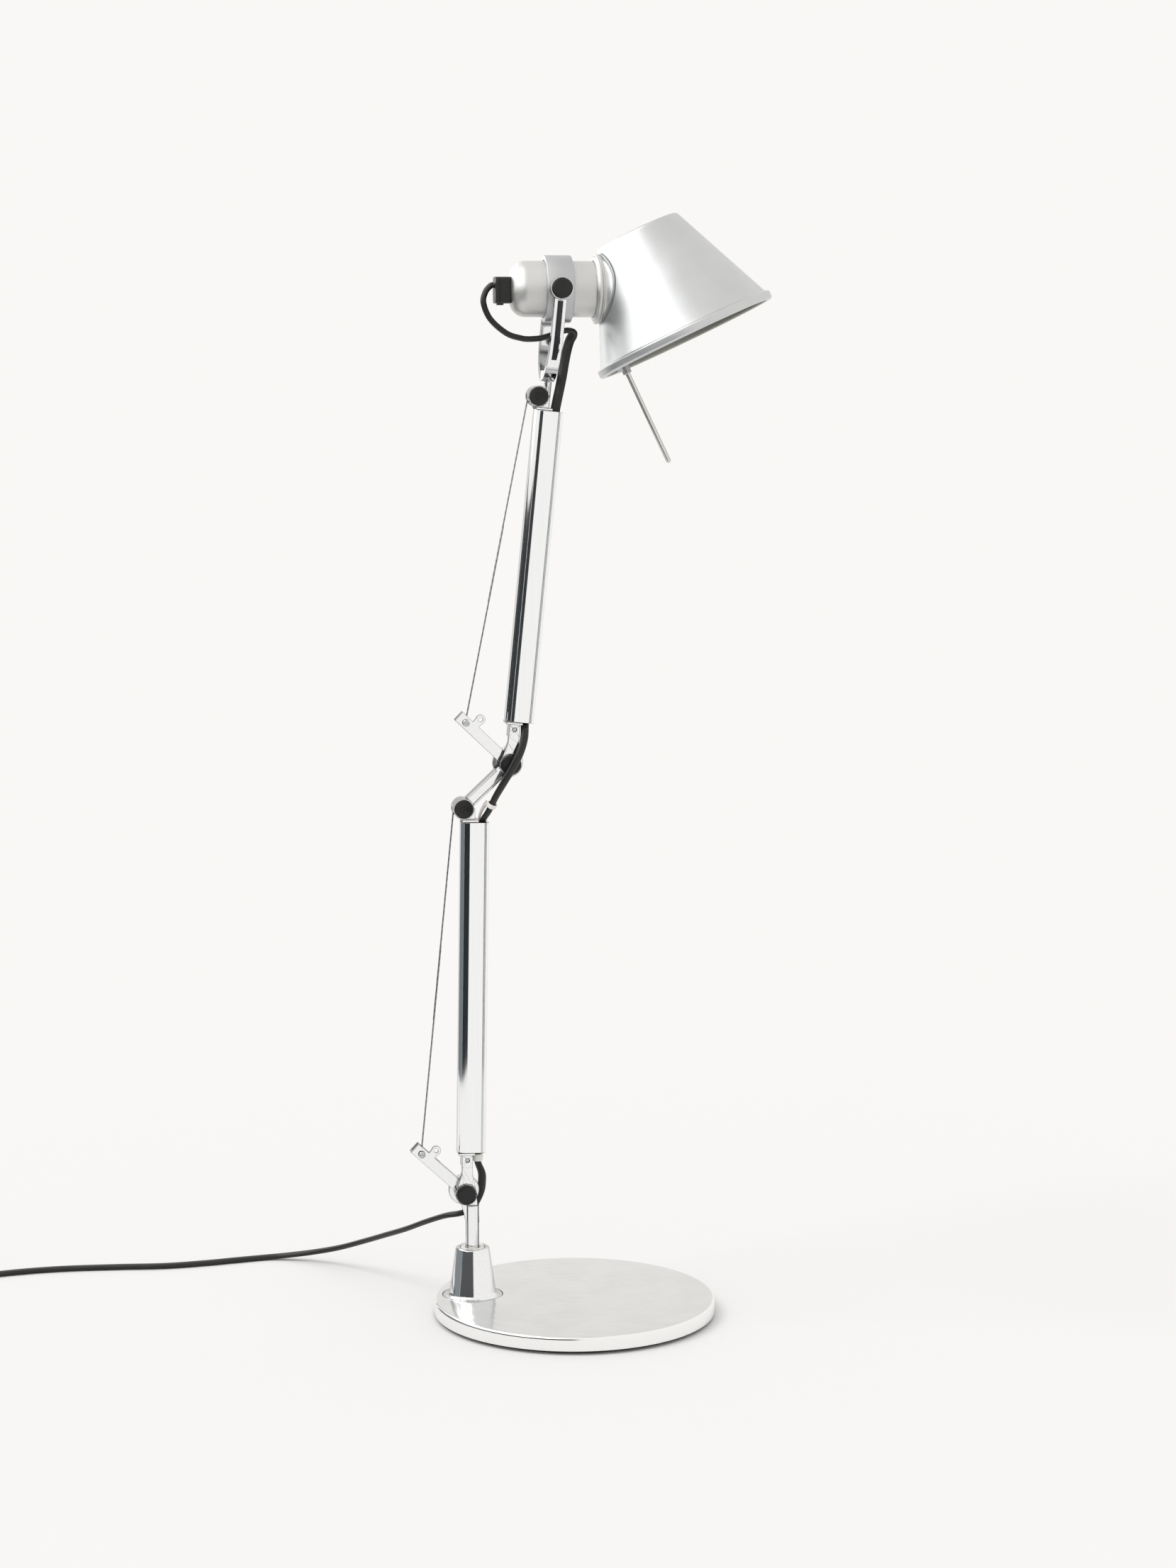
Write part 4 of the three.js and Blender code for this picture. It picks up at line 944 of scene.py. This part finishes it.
for name in ("lower_grub_screw", "upper_grub_screw", "fork_swivel_pin", "lower_pivot_axle",
             "upper_pivot_axle",
             "lower_pulley", "upper_pulley", "lower_pulley_pin", "upper_pulley_pin",
             "lower_spring", "upper_spring"):
    nodes[name].data.materials[0] = STEEL
print("castings finished")

# %% [markdown]
# ## Arm tubes
# The extrusion is a D shape, with a full round nose towards the wires, flat flanks and a thin lip
# on the cord side.
# Its polish makes the nose read as a dark stripe beside a white flank, so the nose needs a true round.

# %% Tubes
def tube_outline(inset, steps):
    """The D-shaped outline of a tube, or of its bore when inset is the wall."""
    half_width, half_depth, centre = 8.4 - inset, 7.5 - inset, 3.1
    nose, corner = 5.5 - inset, max(1.6 - inset, 0.3)
    left, right = centre - half_width, centre + half_width
    lip = [] if inset else [(right - 2.9, -half_depth), (right - 2.5, -half_depth + 0.6),
                            (right - 2.2, -half_depth + 0.6),
                            (right - 1.8, -half_depth)]
    back_lip = [(x, -y) for x, y in reversed(lip)]
    return arc(left + nose, half_depth - nose, nose, 90, 180, steps) \
        + arc(left + nose, -half_depth + nose, nose, 180, 270, steps) + lip \
        + arc(right - corner, -half_depth + corner, corner, 270, 360, 5) \
        + arc(right - corner, half_depth - corner, corner, 0, 90, 5) + back_lip


for arm, at, top in (("lower", AT_LOWER, LOWER_TOP), ("upper", AT_UPPER, UPPER_TOP)):
    wall = extruded(tube_outline(0, 16), TUBE_FOOT, top, hole=tube_outline(1.3, 12))
    piece(f"{arm}_extrusion", wall, at, f"{arm}_arm", EXTRUSION, "polished_aluminium", f"{arm}_tube")
print("tubes done")

# %% [markdown]
# ## Balance wires
# A spring inside each tube pulls a steel wire rope over a pulley to the end of the lever. The rope is six
# strands laid round a core, so its section is a six-lobed star that turns as it is swept.

# %% Wire ropes
def rope_section(radius, lobes=6):
    """A star with one rounded lobe for each strand."""
    section = []
    for i in range(lobes * 4):
        angle = 2 * math.pi * i / (lobes * 4)
        r = radius * (0.92 + 0.08 * math.cos(lobes * angle))
        section.append((r * math.cos(angle), r * math.sin(angle)))
    return section


LAY = 2 * math.pi / 7  # one full turn of the strands every 7 mm
CLAMP_REACH = 36
PULLEY_X, PULLEY_RISE, WIRE_ON_PULLEY = -3.85, 8, 5.1
STRAND_Y, TAIL_Y = 1.2, 2.5
CLAMP = Vector((CLAMP_REACH * math.cos(LEVER_ANGLE), 0, CLAMP_REACH * math.sin(LEVER_ANGLE)))


def straight(a, b, step=0.9):
    """Evenly spaced points from a to b."""
    count = max(int((b - a).length / step), 1)
    return [a.lerp(b, i / count) for i in range(count + 1)]


def make_wire(arm, at, top, lever):
    """Both strands of one balance wire, drawn in arm-plane millimetres."""
    q = in_arm(at, PULLEY_X, 0, top + PULLEY_RISE)
    c = lever
    gap = q - c
    heading = math.atan2(gap.z, gap.x) + math.asin(WIRE_ON_PULLEY / gap.length)
    run = math.sqrt(gap.length ** 2 - WIRE_ON_PULLEY ** 2)
    along = Vector((math.cos(heading), 0, math.sin(heading)))
    beside = Vector((0, STRAND_Y, 0))
    strand = straight(c + along * 3.3 + beside, c + along * 0.6 * run + beside)
    piece(f"{arm}_rope", swept(strand, rope_section(0.5), LAY), ARM_PLANE, f"{arm}_wire", ROPE, "steel",
          f"{arm}_wire_strand")
    eye = turned([(2.1, -0.5), (2.6, -0.75), (3.1, -0.5), (3.1, 0.5), (2.6, 0.75), (2.1, 0.5)], 32, "Y",
                 (c.x, STRAND_Y, c.z))
    piece(f"{arm}_rope_eye", eye, ARM_PLANE, f"{arm}_wire", STEEL, "steel")
    tail = straight(c + along * (0.6 * run - 45), c + along * (run - 1))
    turn_from, turn_to = heading + math.pi / 2, 0.0
    for i in range(25):
        angle = turn_from + (turn_to - turn_from) * i / 24
        tail.append(q + Vector((math.cos(angle), 0, math.sin(angle))) * WIRE_ON_PULLEY)
    tail.append(in_arm(at, PULLEY_X + WIRE_ON_PULLEY, 0, top - 18))
    tail = [p + Vector((0, TAIL_Y, 0)) for p in tail]
    piece(f"{arm}_rope_tail", swept(tail, rope_section(0.5), LAY), ARM_PLANE, f"{arm}_arm", ROPE, "steel",
          f"{arm}_wire_tail")


make_wire("lower", AT_LOWER, LOWER_TOP, STEM_PIVOT + CLAMP)
LINK_X, LINK_RISE = 23.7, 34.7
make_wire("upper", AT_UPPER, UPPER_TOP,
          in_arm(AT_LOWER, LINK_X + CLAMP.x, 0, LOWER_TOP + LINK_RISE + CLAMP.z))
print("wire ropes done")

# %% [markdown]
# ## Joint hardware
# Each pivot has a black press-in cap in front and a round tension knob behind, with fine flutes to grip.
# The pulley bosses carry a dished black cap with a hexagon socket.

# %% Caps and knobs
def dome_cap(radius, face, back, centre, axis="Y"):
    """A slightly crowned disc with a rounded rim; face is its outer side."""
    way = 1 if back > face else -1
    profile = [(0, face)] + [(radius * k, face + way * 0.25 * k ** 4) for k in (0.4, 0.7, 0.88)] \
        + [(radius * 0.975, face + way * 0.4), (radius, face + way * 0.6), (radius, back), (0, back)]
    return turned(profile, 64, axis, centre)


def socket_cap(centre):
    """A dished cap with a hexagon pocket in the middle."""
    face, back = -7.1, -6.05
    profile = [(0, face + 0.75), (1.9, face + 0.7), (2.1, face + 0.45), (4.7, face + 0.05), (5.2, face),
               (5.4, face + 0.2),
               (5.4, back), (0, back)]
    pocket = turned([(0, face - 1), (1.4, face - 1), (1.4, back - 0.1), (0, back - 0.1)], 6, "Y", centre)
    return combined(turned(profile, 64, "Y", centre), pocket, "DIFFERENCE")


def knob(centre):
    """A round knob with a fluted rim, its face away from the arm."""
    work = bmesh.new()
    sides, flutes = 192, 48
    rings = []
    for radius, y, depth in ((0, 8.7, 0), (6.4, 8.7, 0), (7.2, 8.55, 0), (8.6, 8.5, 0), (9.2, 8, 0.35),
                             (9.4, 7.6, 0.5),
                             (9.4, 5.4, 0.5), (9.1, 4.8, 0.3), (8.8, 4.7, 0), (0, 4.7, 0)):
        if radius == 0:
            rings.append([work.verts.new((centre[0], y, centre[2]))])
            continue
        ring = []
        for i in range(sides):
            angle = 2 * math.pi * i / sides
            r = radius - depth * 0.5 * (1 - math.cos(flutes * angle)) * 0.6
            ring.append(work.verts.new((centre[0] + r * math.cos(angle), y, centre[2] + r * math.sin(angle))))
        rings.append(ring)
    for low, high in zip(rings, rings[1:]):
        for i in range(sides):
            j = (i + 1) % sides
            corners = [low[i % len(low)], low[j % len(low)], high[j % len(high)], high[i % len(high)]]
            unique = list(dict.fromkeys(corners))
            if len(unique) > 2:
                work.faces.new(unique)
    return work


def pin_head(centre):
    """The pin that clamps the wire, with a screwdriver slot in its head."""
    pin = turned([(0, -3.6), (1.8, -3.6), (2.1, -3.3), (2.1, -2.2), (1.6, -2.2), (1.6, 4.4), (0, 4.4)],
                 40, "Y", centre)
    slot = box(centre[0] - 3, centre[0] + 3, -4, -3.1, centre[2] - 0.25, centre[2] + 0.25)
    return combined(pin, slot, "DIFFERENCE")


# %% Fit the hardware at both joints
MID_IN_LOWER = Vector((LINK_X, 0, LOWER_TOP + LINK_RISE))
NO_OFFSET = Vector((0, 0, 0))
for arm, at, parent_at, offset, parent in (
        ("lower", AT_LOWER, place(PIVOT), NO_OFFSET, "stem"),
        ("upper", AT_UPPER, AT_LOWER, MID_IN_LOWER, "lower_arm")):
    own = f"{arm}_arm"
    cover = dome_cap(5.85, -8.2, -7.1, (0, 0, 0))
    piece(f"{arm}_cap", cover, at, own, ABS, "black_plastic", f"{arm}_pivot_cap")
    top = LOWER_TOP if arm == "lower" else UPPER_TOP
    boss = (PULLEY_X, 0, top + PULLEY_RISE)
    piece(f"{arm}_socket_cap", socket_cap(boss), at, own, ABS, "black_plastic", f"{arm}_pulley_cap")
    piece(f"{arm}_knob", knob(offset), parent_at, parent, TURNING, "polished_aluminium",
          f"{arm}_tension_knob")
    pin = pin_head(tuple(offset + CLAMP))
    piece(f"{arm}_clamp_pin", pin, parent_at, parent, STEEL, "steel", f"{arm}_wire_pin")
print("joint hardware done")

# %% [markdown]
# ## Cord clips
# A sleeve at the foot of the lower tube and a ring on a short arm at its top hold the lead off the joint.

# %% Clips
sleeve = turned([(2.4, 19.4), (2.7, 19.2), (3.2, 19.5), (3.3, 20), (3.3, 23.5), (3.1, 23.7), (2.4, 23.7)],
                40, "Z", (7.4, 0, 0))
piece("cord_sleeve", sleeve, AT_LOWER, "lower_arm", NYLON, "clear_plastic", "lower_cord_clip")


def ring_clip():
    """A ring round the lead, square to it, and the arm that carries it from the tube's mouth."""
    around = Vector((12, -5.9, 311.5))
    ahead = (Vector((14.1, -8, 316.6)) - Vector((10.4, -4.5, 307.8))).normalized()
    ring = turned([(2.4, -1.3), (3.0, -1.3), (3.2, -1.0), (3.2, 1.0), (3.0, 1.3), (2.4, 1.3)], 36)
    ring.transform(Matrix.Translation(around) @ ahead.to_track_quat("Z", "Y").to_matrix().to_4x4())
    path = [(5.2, 2.6, 296), (5.6, 2.6, 303), (7.2, 1.6, 308), (9.4, -1.6, 312.5)]
    strip = swept(smooth_path(path, 6), [(-2.2, -0.5), (2.2, -0.5), (2.2, 0.5), (-2.2, 0.5)],
                  up=Vector((1, 0, 0.2)))
    return combined(ring, strip, "UNION")


piece("cord_ring_clip", ring_clip(), ARM_PLANE, "lower_arm", NYLON, "clear_plastic")

# %% [markdown]
# ## Fork caps
# Two black press-in caps hide the screws that the head tilts on.

# %% Fork caps
piece("front_fork_cap", dome_cap(5.8, -26.2, -24.4, (FORK_X, 0, FORK_PIVOT)), AT_UPPER, "fork", ABS,
      "black_plastic",
      "fork_cap_front")
piece("back_fork_cap", dome_cap(5.8, 26.2, 24.4, (FORK_X, 0, FORK_PIVOT)), AT_UPPER, "fork", ABS,
      "black_plastic",
      "fork_cap_rear")

# %% [markdown]
# ## Head
# The housing is a deep-drawn cup with a domed back. A cast ring clamps round it and carries the tilt studs.
# A beaded collar closes the joint between the housing and the spun shade.

# %% Housing and ring
def make_housing():
    """The spun cup that holds the lampholder."""
    radius, rear, front, wall, dome = 16.35, -27.3, 24, 1.15, 9
    profile = [(0, rear)] + arc(radius - dome, rear + dome, dome, 270, 360, 14) + [(radius, front)] \
        + [(radius - wall, front)] + arc(radius - dome, rear + dome, dome - wall, 360, 270, 10) \
        + [(0, rear + wall)]
    piece("housing_cup", turned(profile, 96, "X"), AT_HEAD, "head", HOUSING_METAL, "satin_aluminium",
          "lamp_housing")


def make_ring():
    """The clamp ring round the housing, with a stud on each side."""
    inner, outer, low, high = 16.75, 19.65, -7.5, 8.5
    ring = turned([(inner, low + 0.3), (inner + 0.3, low), (outer - 0.6, low), (outer - 0.15, low + 0.2),
                   (outer, low + 0.6),
                   (outer, high - 0.6), (outer - 0.15, high - 0.2), (outer - 0.6, high), (inner + 0.3, high),
                   (inner, high - 0.3)], 96, "X")
    studs = combined(cylinder(2.4, -23.7, -18, sides=32), cylinder(2.4, 18, 23.7, sides=32), "UNION")
    piece("clamp_ring", combined(ring, studs, "UNION"), AT_HEAD, "ring", RING_METAL, "satin_aluminium",
          "head_ring")


make_housing()
make_ring()

# %% [markdown]
# The shade is spun over a former from one disc of aluminium, then its rim is rolled over a wire. The wall is
# 1.2 mm thick, the closed top has a small radius, and a hole in the side lets the lampholder through.

# %% Shade
SHADE_TOP, SHADE_RIM, SHADE_HEIGHT, SHADE_WALL = 26.9, 54.9, 67.5, 1.2
CONE_SLOPE = (SHADE_RIM - SHADE_TOP) / SHADE_HEIGHT


def shade_profile():
    """Up the inside, round the rolled rim and up the outside."""
    inner = [(0, SHADE_HEIGHT - SHADE_WALL), (SHADE_TOP - 3.6, SHADE_HEIGHT - SHADE_WALL),
             (SHADE_TOP - SHADE_WALL - 0.1, SHADE_HEIGHT - 3.3), (SHADE_RIM - SHADE_WALL - 1.6, 3.6)]
    outside = SHADE_RIM + 1.1
    rim = arc(outside - 3.1, -0.8, 1.3, 180, 270, 6) + arc(outside - 1.5, -0.6, 1.5, 270, 360, 8) \
        + arc(outside - 0.9, 2.0, 0.9, 0, 80, 6) + [(SHADE_RIM - 1.1, 3.5), (SHADE_RIM - 1.7, 4.4)]
    crown = arc(SHADE_TOP - 3, SHADE_HEIGHT - 3, 3, 24, 90, 8)
    return inner + rim + crown + [(0, SHADE_HEIGHT)]


def to_shade(work):
    """Takes a tool drawn about the head pivot into the shade's own frame."""
    work.transform(AT_SHADE.inverted() @ AT_HEAD)
    return work


neck_hole = to_shade(turned([(0, 15), (15.6, 15), (15.6, 40), (0, 40)], 64, "X"))
spun = piece("spun_shade", combined(turned(shade_profile(), 160), neck_hole, "DIFFERENCE"), AT_SHADE, "head",
             SHADE_METAL, "satin_aluminium", "shade")
spun.data.materials.append(SHADE_INSIDE_PAINTED_DARK)
to_local = AT_SHADE.inverted()
# Faces inside the shade, its rolled rim and its crown take the darker painted shade.
for polygon in spun.data.polygons:
    centre = to_local @ polygon.center
    facing = to_local.to_3x3() @ polygon.normal
    inward = (facing.x * centre.x + facing.y * centre.y) / max(math.hypot(centre.x, centre.y), 1) * MM
    if (inward < -0.3 and centre.z > -1.9) or (facing.z * MM < -0.5 and centre.z > 60):
        polygon.material_index = 1

# %% [markdown]
# Before the top is closed, the side of the cone is drawn out into a short neck with a soft fillet. A rolled
# flange with two beads clips over it and ends the housing.

# %% Drawn neck and beaded flange
HEAD_TO_SHADE = AT_SHADE.inverted() @ AT_HEAD


def cone_at(radius, angle):
    """Distance along the neck at which a line beside its axis meets the cone."""
    low, high = 10.0, 60.0
    for _ in range(40):
        x = (low + high) / 2
        p = HEAD_TO_SHADE @ Vector((x, radius * math.cos(angle), radius * math.sin(angle)))
        if math.hypot(p.x, p.y) > SHADE_RIM - CONE_SLOPE * p.z:
            low = x
        else:
            high = x
    return (low + high) / 2


def make_neck():
    """The neck between the housing and the shade."""
    root, mouth, start_x, sides, steps = 18.6, 21.4, 25.6, 96, 8
    work = bmesh.new()
    rings = []
    for i in range(sides):
        angle = 2 * math.pi * i / sides
        end_x = max(cone_at(mouth, angle) + 0.15, start_x + 0.3)
        line = []
        for k in range(steps + 1):
            t = k / steps
            line.append((root + (mouth - root) * t ** 2.4,
                         start_x + (end_x - start_x) * (1 - (1 - t) ** 1.5)))
        line += [(root - 1.4, max(cone_at(root - 1.4, angle) - 0.1, start_x + 0.2)), (root - 1.4, start_x)]
        rings.append([work.verts.new((x, r * math.cos(angle), r * math.sin(angle))) for r, x in line])
    for low, high in zip(rings, rings[1:] + rings[:1]):
        for k in range(len(low)):
            work.faces.new((low[k - 1], low[k], high[k], high[k - 1]))
    piece("drawn_neck", work, AT_HEAD, "head", SHADE_METAL, "satin_aluminium")


def make_flange():
    """The beaded collar at the front of the housing."""
    profile = [(16.7, 21.9), (17.4, 21.9)] + arc(17.4, 23.7, 1.8, 270, 335, 5) \
        + arc(19.6, 23.6, 0.8, 220, 360, 10) + arc(19.9, 24.5, 0.5, 0, 90, 4) + [(19.3, 25.2)] \
        + arc(19.0, 25.75, 0.5, 300, 440, 6) + [(18.5, 26.4), (16.7, 26.4)]
    piece("beaded_flange", turned(profile, 96, "X"), AT_HEAD, "head", HOUSING_METAL, "satin_aluminium",
          "shade_collar")


make_neck()
make_flange()

# %% [markdown]
# The rod under the rim turns the hot shade without touching it. It sits in a socket fixed inside the wall.

# %% Handle rod and socket
rod = turned([(0, -63.6), (0.7, -63.4), (1.15, -62.9), (1.4, -62.2), (1.4, 17), (0, 17)], 32, "Z",
             (-41, 0, 0))
piece("rod", rod, AT_SHADE, "head", PLATED, "steel", "handle_rod")
socket = turned([(1.7, -6), (2.4, -6), (2.7, -5.6), (2.7, 19.6), (2.4, 20), (1.7, 20)], 40, "Z", (-41, 0, 0))
tab = box(-45.6, -43.1, -2.4, 2.4, -3.5, 16, bevel=0.5)
piece("rod_socket", combined(socket, tab, "UNION"), AT_SHADE, "head", RING_METAL, "satin_aluminium",
      "handle_socket")

# %% [markdown]
# Inside the shade a black lampholder carries a small opal globe.

# %% Lampholder and bulb
holder = [(0, -14), (14.4, -14), (14.8, -13.6), (14.8, 21.6), (14.4, 22), (13.2, 22.4), (13, 22.8)]
for rib in range(4):
    holder += [(13, 24 + 2.2 * rib), (12.6, 24.4 + 2.2 * rib), (12.6, 25.4 + 2.2 * rib),
               (13, 25.8 + 2.2 * rib)]
holder += [(13, 32.7), (12.7, 33), (7.9, 33), (7.7, 32.8), (7.7, 10), (0, 10)]
piece("holder_shell", turned(holder, 64, "X"), AT_HEAD, "head", ABS, "black_plastic", "lampholder")
globe = [(0, 12), (6, 12), (7.3, 13)] + [(7.3 - 0.5 * (i % 2), 14 + 1.6 * i) for i in range(12)]
globe += [(7.4, 33.5), (8.1, 37), (9.6, 42), (12.2, 47.4)] + \
    arc(0, 62, 19, -50, 90, 24)[:-1] + [(0, 81)]
piece("opal_globe", turned(globe, 64, "X"), AT_HEAD, "head", OPAL, "bulb_glass", "bulb")

# %% [markdown]
# The block on the back of the housing is both cord entry and switch. A raised frame runs round it, and the
# slider moves in a slot underneath.

# %% Switch block
def make_switch():
    """The moulded block on the back of the housing."""
    rear = -27.3
    outline = arc(-5, -6.4, 2, 180, 270, 5) + arc(5, -6.4, 2, 270, 360, 5) + arc(4.5, 4.4, 2.5, 0, 90, 6) \
        + arc(-4.5, 4.4, 2.5, 90, 180, 6)
    stand = Matrix(((0, 0, 1, 0), (1, 0, 0, 0), (0, 1, 0, 0), (0, 0, 0, 1)))
    block = extruded(outline, rear - 9.1, rear - 0.3, bevel=0.5)
    block.transform(stand)
    block = combined(block, box(rear - 8, rear - 1, -2.9, 2.9, -9, -6.9), "DIFFERENCE")
    groove = extruded([(x * 1.1, y * 1.1) for x, y in outline], rear - 6.9, rear - 6.5,
                      hole=[(x * 0.95, y * 0.95) for x, y in outline])
    groove.transform(stand)
    block = combined(block, groove, "DIFFERENCE")
    piece("switch_block", block, AT_HEAD, "head", ABS, "black_plastic", "switch_body")
    slider = box(rear - 7.7, rear - 4, -2.6, 2.6, -9.45, -7.2, bevel=0.3)
    for i in range(3):
        x = rear - 6.9 + 1.05 * i
        slider = combined(slider, box(x - 0.2, x + 0.2, -3, 3, -9.8, -9.15), "DIFFERENCE")
    piece("switch_thumb", slider, AT_HEAD, "switch", ABS, "black_plastic", "switch_slider")


make_switch()

# %% [markdown]
# ## Floor, light and reflections
# Polished metal shows only what is round it. The room is white, with a big soft source high on the left, and
# a few dark cards that only reflections can see, which draw the dark lines that make metal look like metal.

# %% Floor
BACKDROP = "#FAF8F6"


def make_floor():
    """A sheet of matt paper that fades into the lit backdrop well away from the lamp."""
    data = bpy.data.meshes.new("floor")
    work = bmesh.new()
    bmesh.ops.create_grid(work, x_segments=1, y_segments=1, size=60)
    work.to_mesh(data)
    work.free()
    made = bpy.data.objects.new("floor", data)
    bpy.context.scene.collection.objects.link(made)
    material, tree, shader, where = start("matt_white_paper", "#E9E9E9", 0.0, 0.9,
                                          **{"Specular IOR Level": 0.0})
    far = add(tree, "ShaderNodeVectorMath", {"operation": "LENGTH"}, {"Vector": where})
    fade = add(tree, "ShaderNodeMapRange",
               {"From Min": 0.45, "From Max": 1.1, "interpolation_type": "SMOOTHSTEP"},
               {"Value": far.outputs["Value"]})
    glow = add(tree, "ShaderNodeEmission", {"Color": linear(BACKDROP)})
    mix = add(tree, "ShaderNodeMixShader", links={"Fac": fade.outputs["Result"]})
    tree.links.new(shader.outputs["BSDF"], mix.inputs[1])
    tree.links.new(glow.outputs["Emission"], mix.inputs[2])
    tree.links.new(mix.outputs["Shader"], tree.nodes["Material Output"].inputs["Surface"])
    data.materials.append(material)


make_floor()

# %% World and lamps
world = bpy.data.worlds.new("white_studio")
bpy.context.scene.world = world
world.use_nodes = True
world.node_tree.nodes["Background"].inputs["Color"].default_value = linear(BACKDROP)
world.node_tree.nodes["Background"].inputs["Strength"].default_value = 1.0
bpy.context.scene.view_settings.view_transform = "Standard"


def soft_sun(name, location, power, spread):
    """A far, wide source that lights the floor evenly."""
    data = bpy.data.lights.new(name, "SUN")
    data.energy = power
    data.angle = math.radians(spread)
    lamp = bpy.data.objects.new(name, data)
    lamp.rotation_euler = (-Vector(location)).to_track_quat("-Z", "Y").to_euler()
    bpy.context.scene.collection.objects.link(lamp)


soft_sun("key", (-1.3, -0.2, 1.9), 0.8, 30)


# %% Cards that only reflections see
AXIS = Vector((-0.045, 0.0136))


def wrap(name, from_left, to_left, low, high, radius, hex_code, glow=0.0):
    """An upright curved card round the lamp; its angles run clockwise from straight in front."""
    data = bpy.data.meshes.new(name)
    work = bmesh.new()
    columns = []
    for i in range(13):
        angle = math.radians(from_left + (to_left - from_left) * i / 12)
        x, y = AXIS.x - radius * math.sin(angle), AXIS.y - radius * math.cos(angle)
        columns.append([work.verts.new((x, y, low)), work.verts.new((x, y, high))])
    for a, b in zip(columns, columns[1:]):
        work.faces.new((a[0], b[0], b[1], a[1]))
    work.to_mesh(data)
    work.free()
    made = bpy.data.objects.new(name, data)
    bpy.context.scene.collection.objects.link(made)
    cloth, tree, shader, _ = start(name + "_cloth", hex_code, 0.0, 1.0, **{"Specular IOR Level": 0.0})
    if glow:
        light = add(tree, "ShaderNodeEmission", {"Color": linear(hex_code), "Strength": glow})
        tree.links.new(light.outputs["Emission"], tree.nodes["Material Output"].inputs["Surface"])
    data.materials.append(cloth)
    made.visible_camera = False
    made.visible_diffuse = False
    made.visible_shadow = False
    made.visible_transmission = False


wrap("front_left_flag_low", 4, 74, 0.0, 0.26, 0.72, "#2C3134")
wrap("left_flag_low", 75, 150, 0.0, 0.26, 0.72, "#767F84")
wrap("front_left_flag_high", 4, 44, 0.2, 0.7, 1.2, "#3A3D3F")
wrap("left_flag_high", 47, 140, 0.2, 0.575, 1.2, "#3A3D3F")
wrap("left_softbox", 21, 104, 0.71, 1.4, 0.9, "#FFFFFF", 2.3)
wrap("rear_left_softbox", 105, 172, 0.59, 1.4, 0.9, "#FFFFFF", 2.0)
print("stage set")
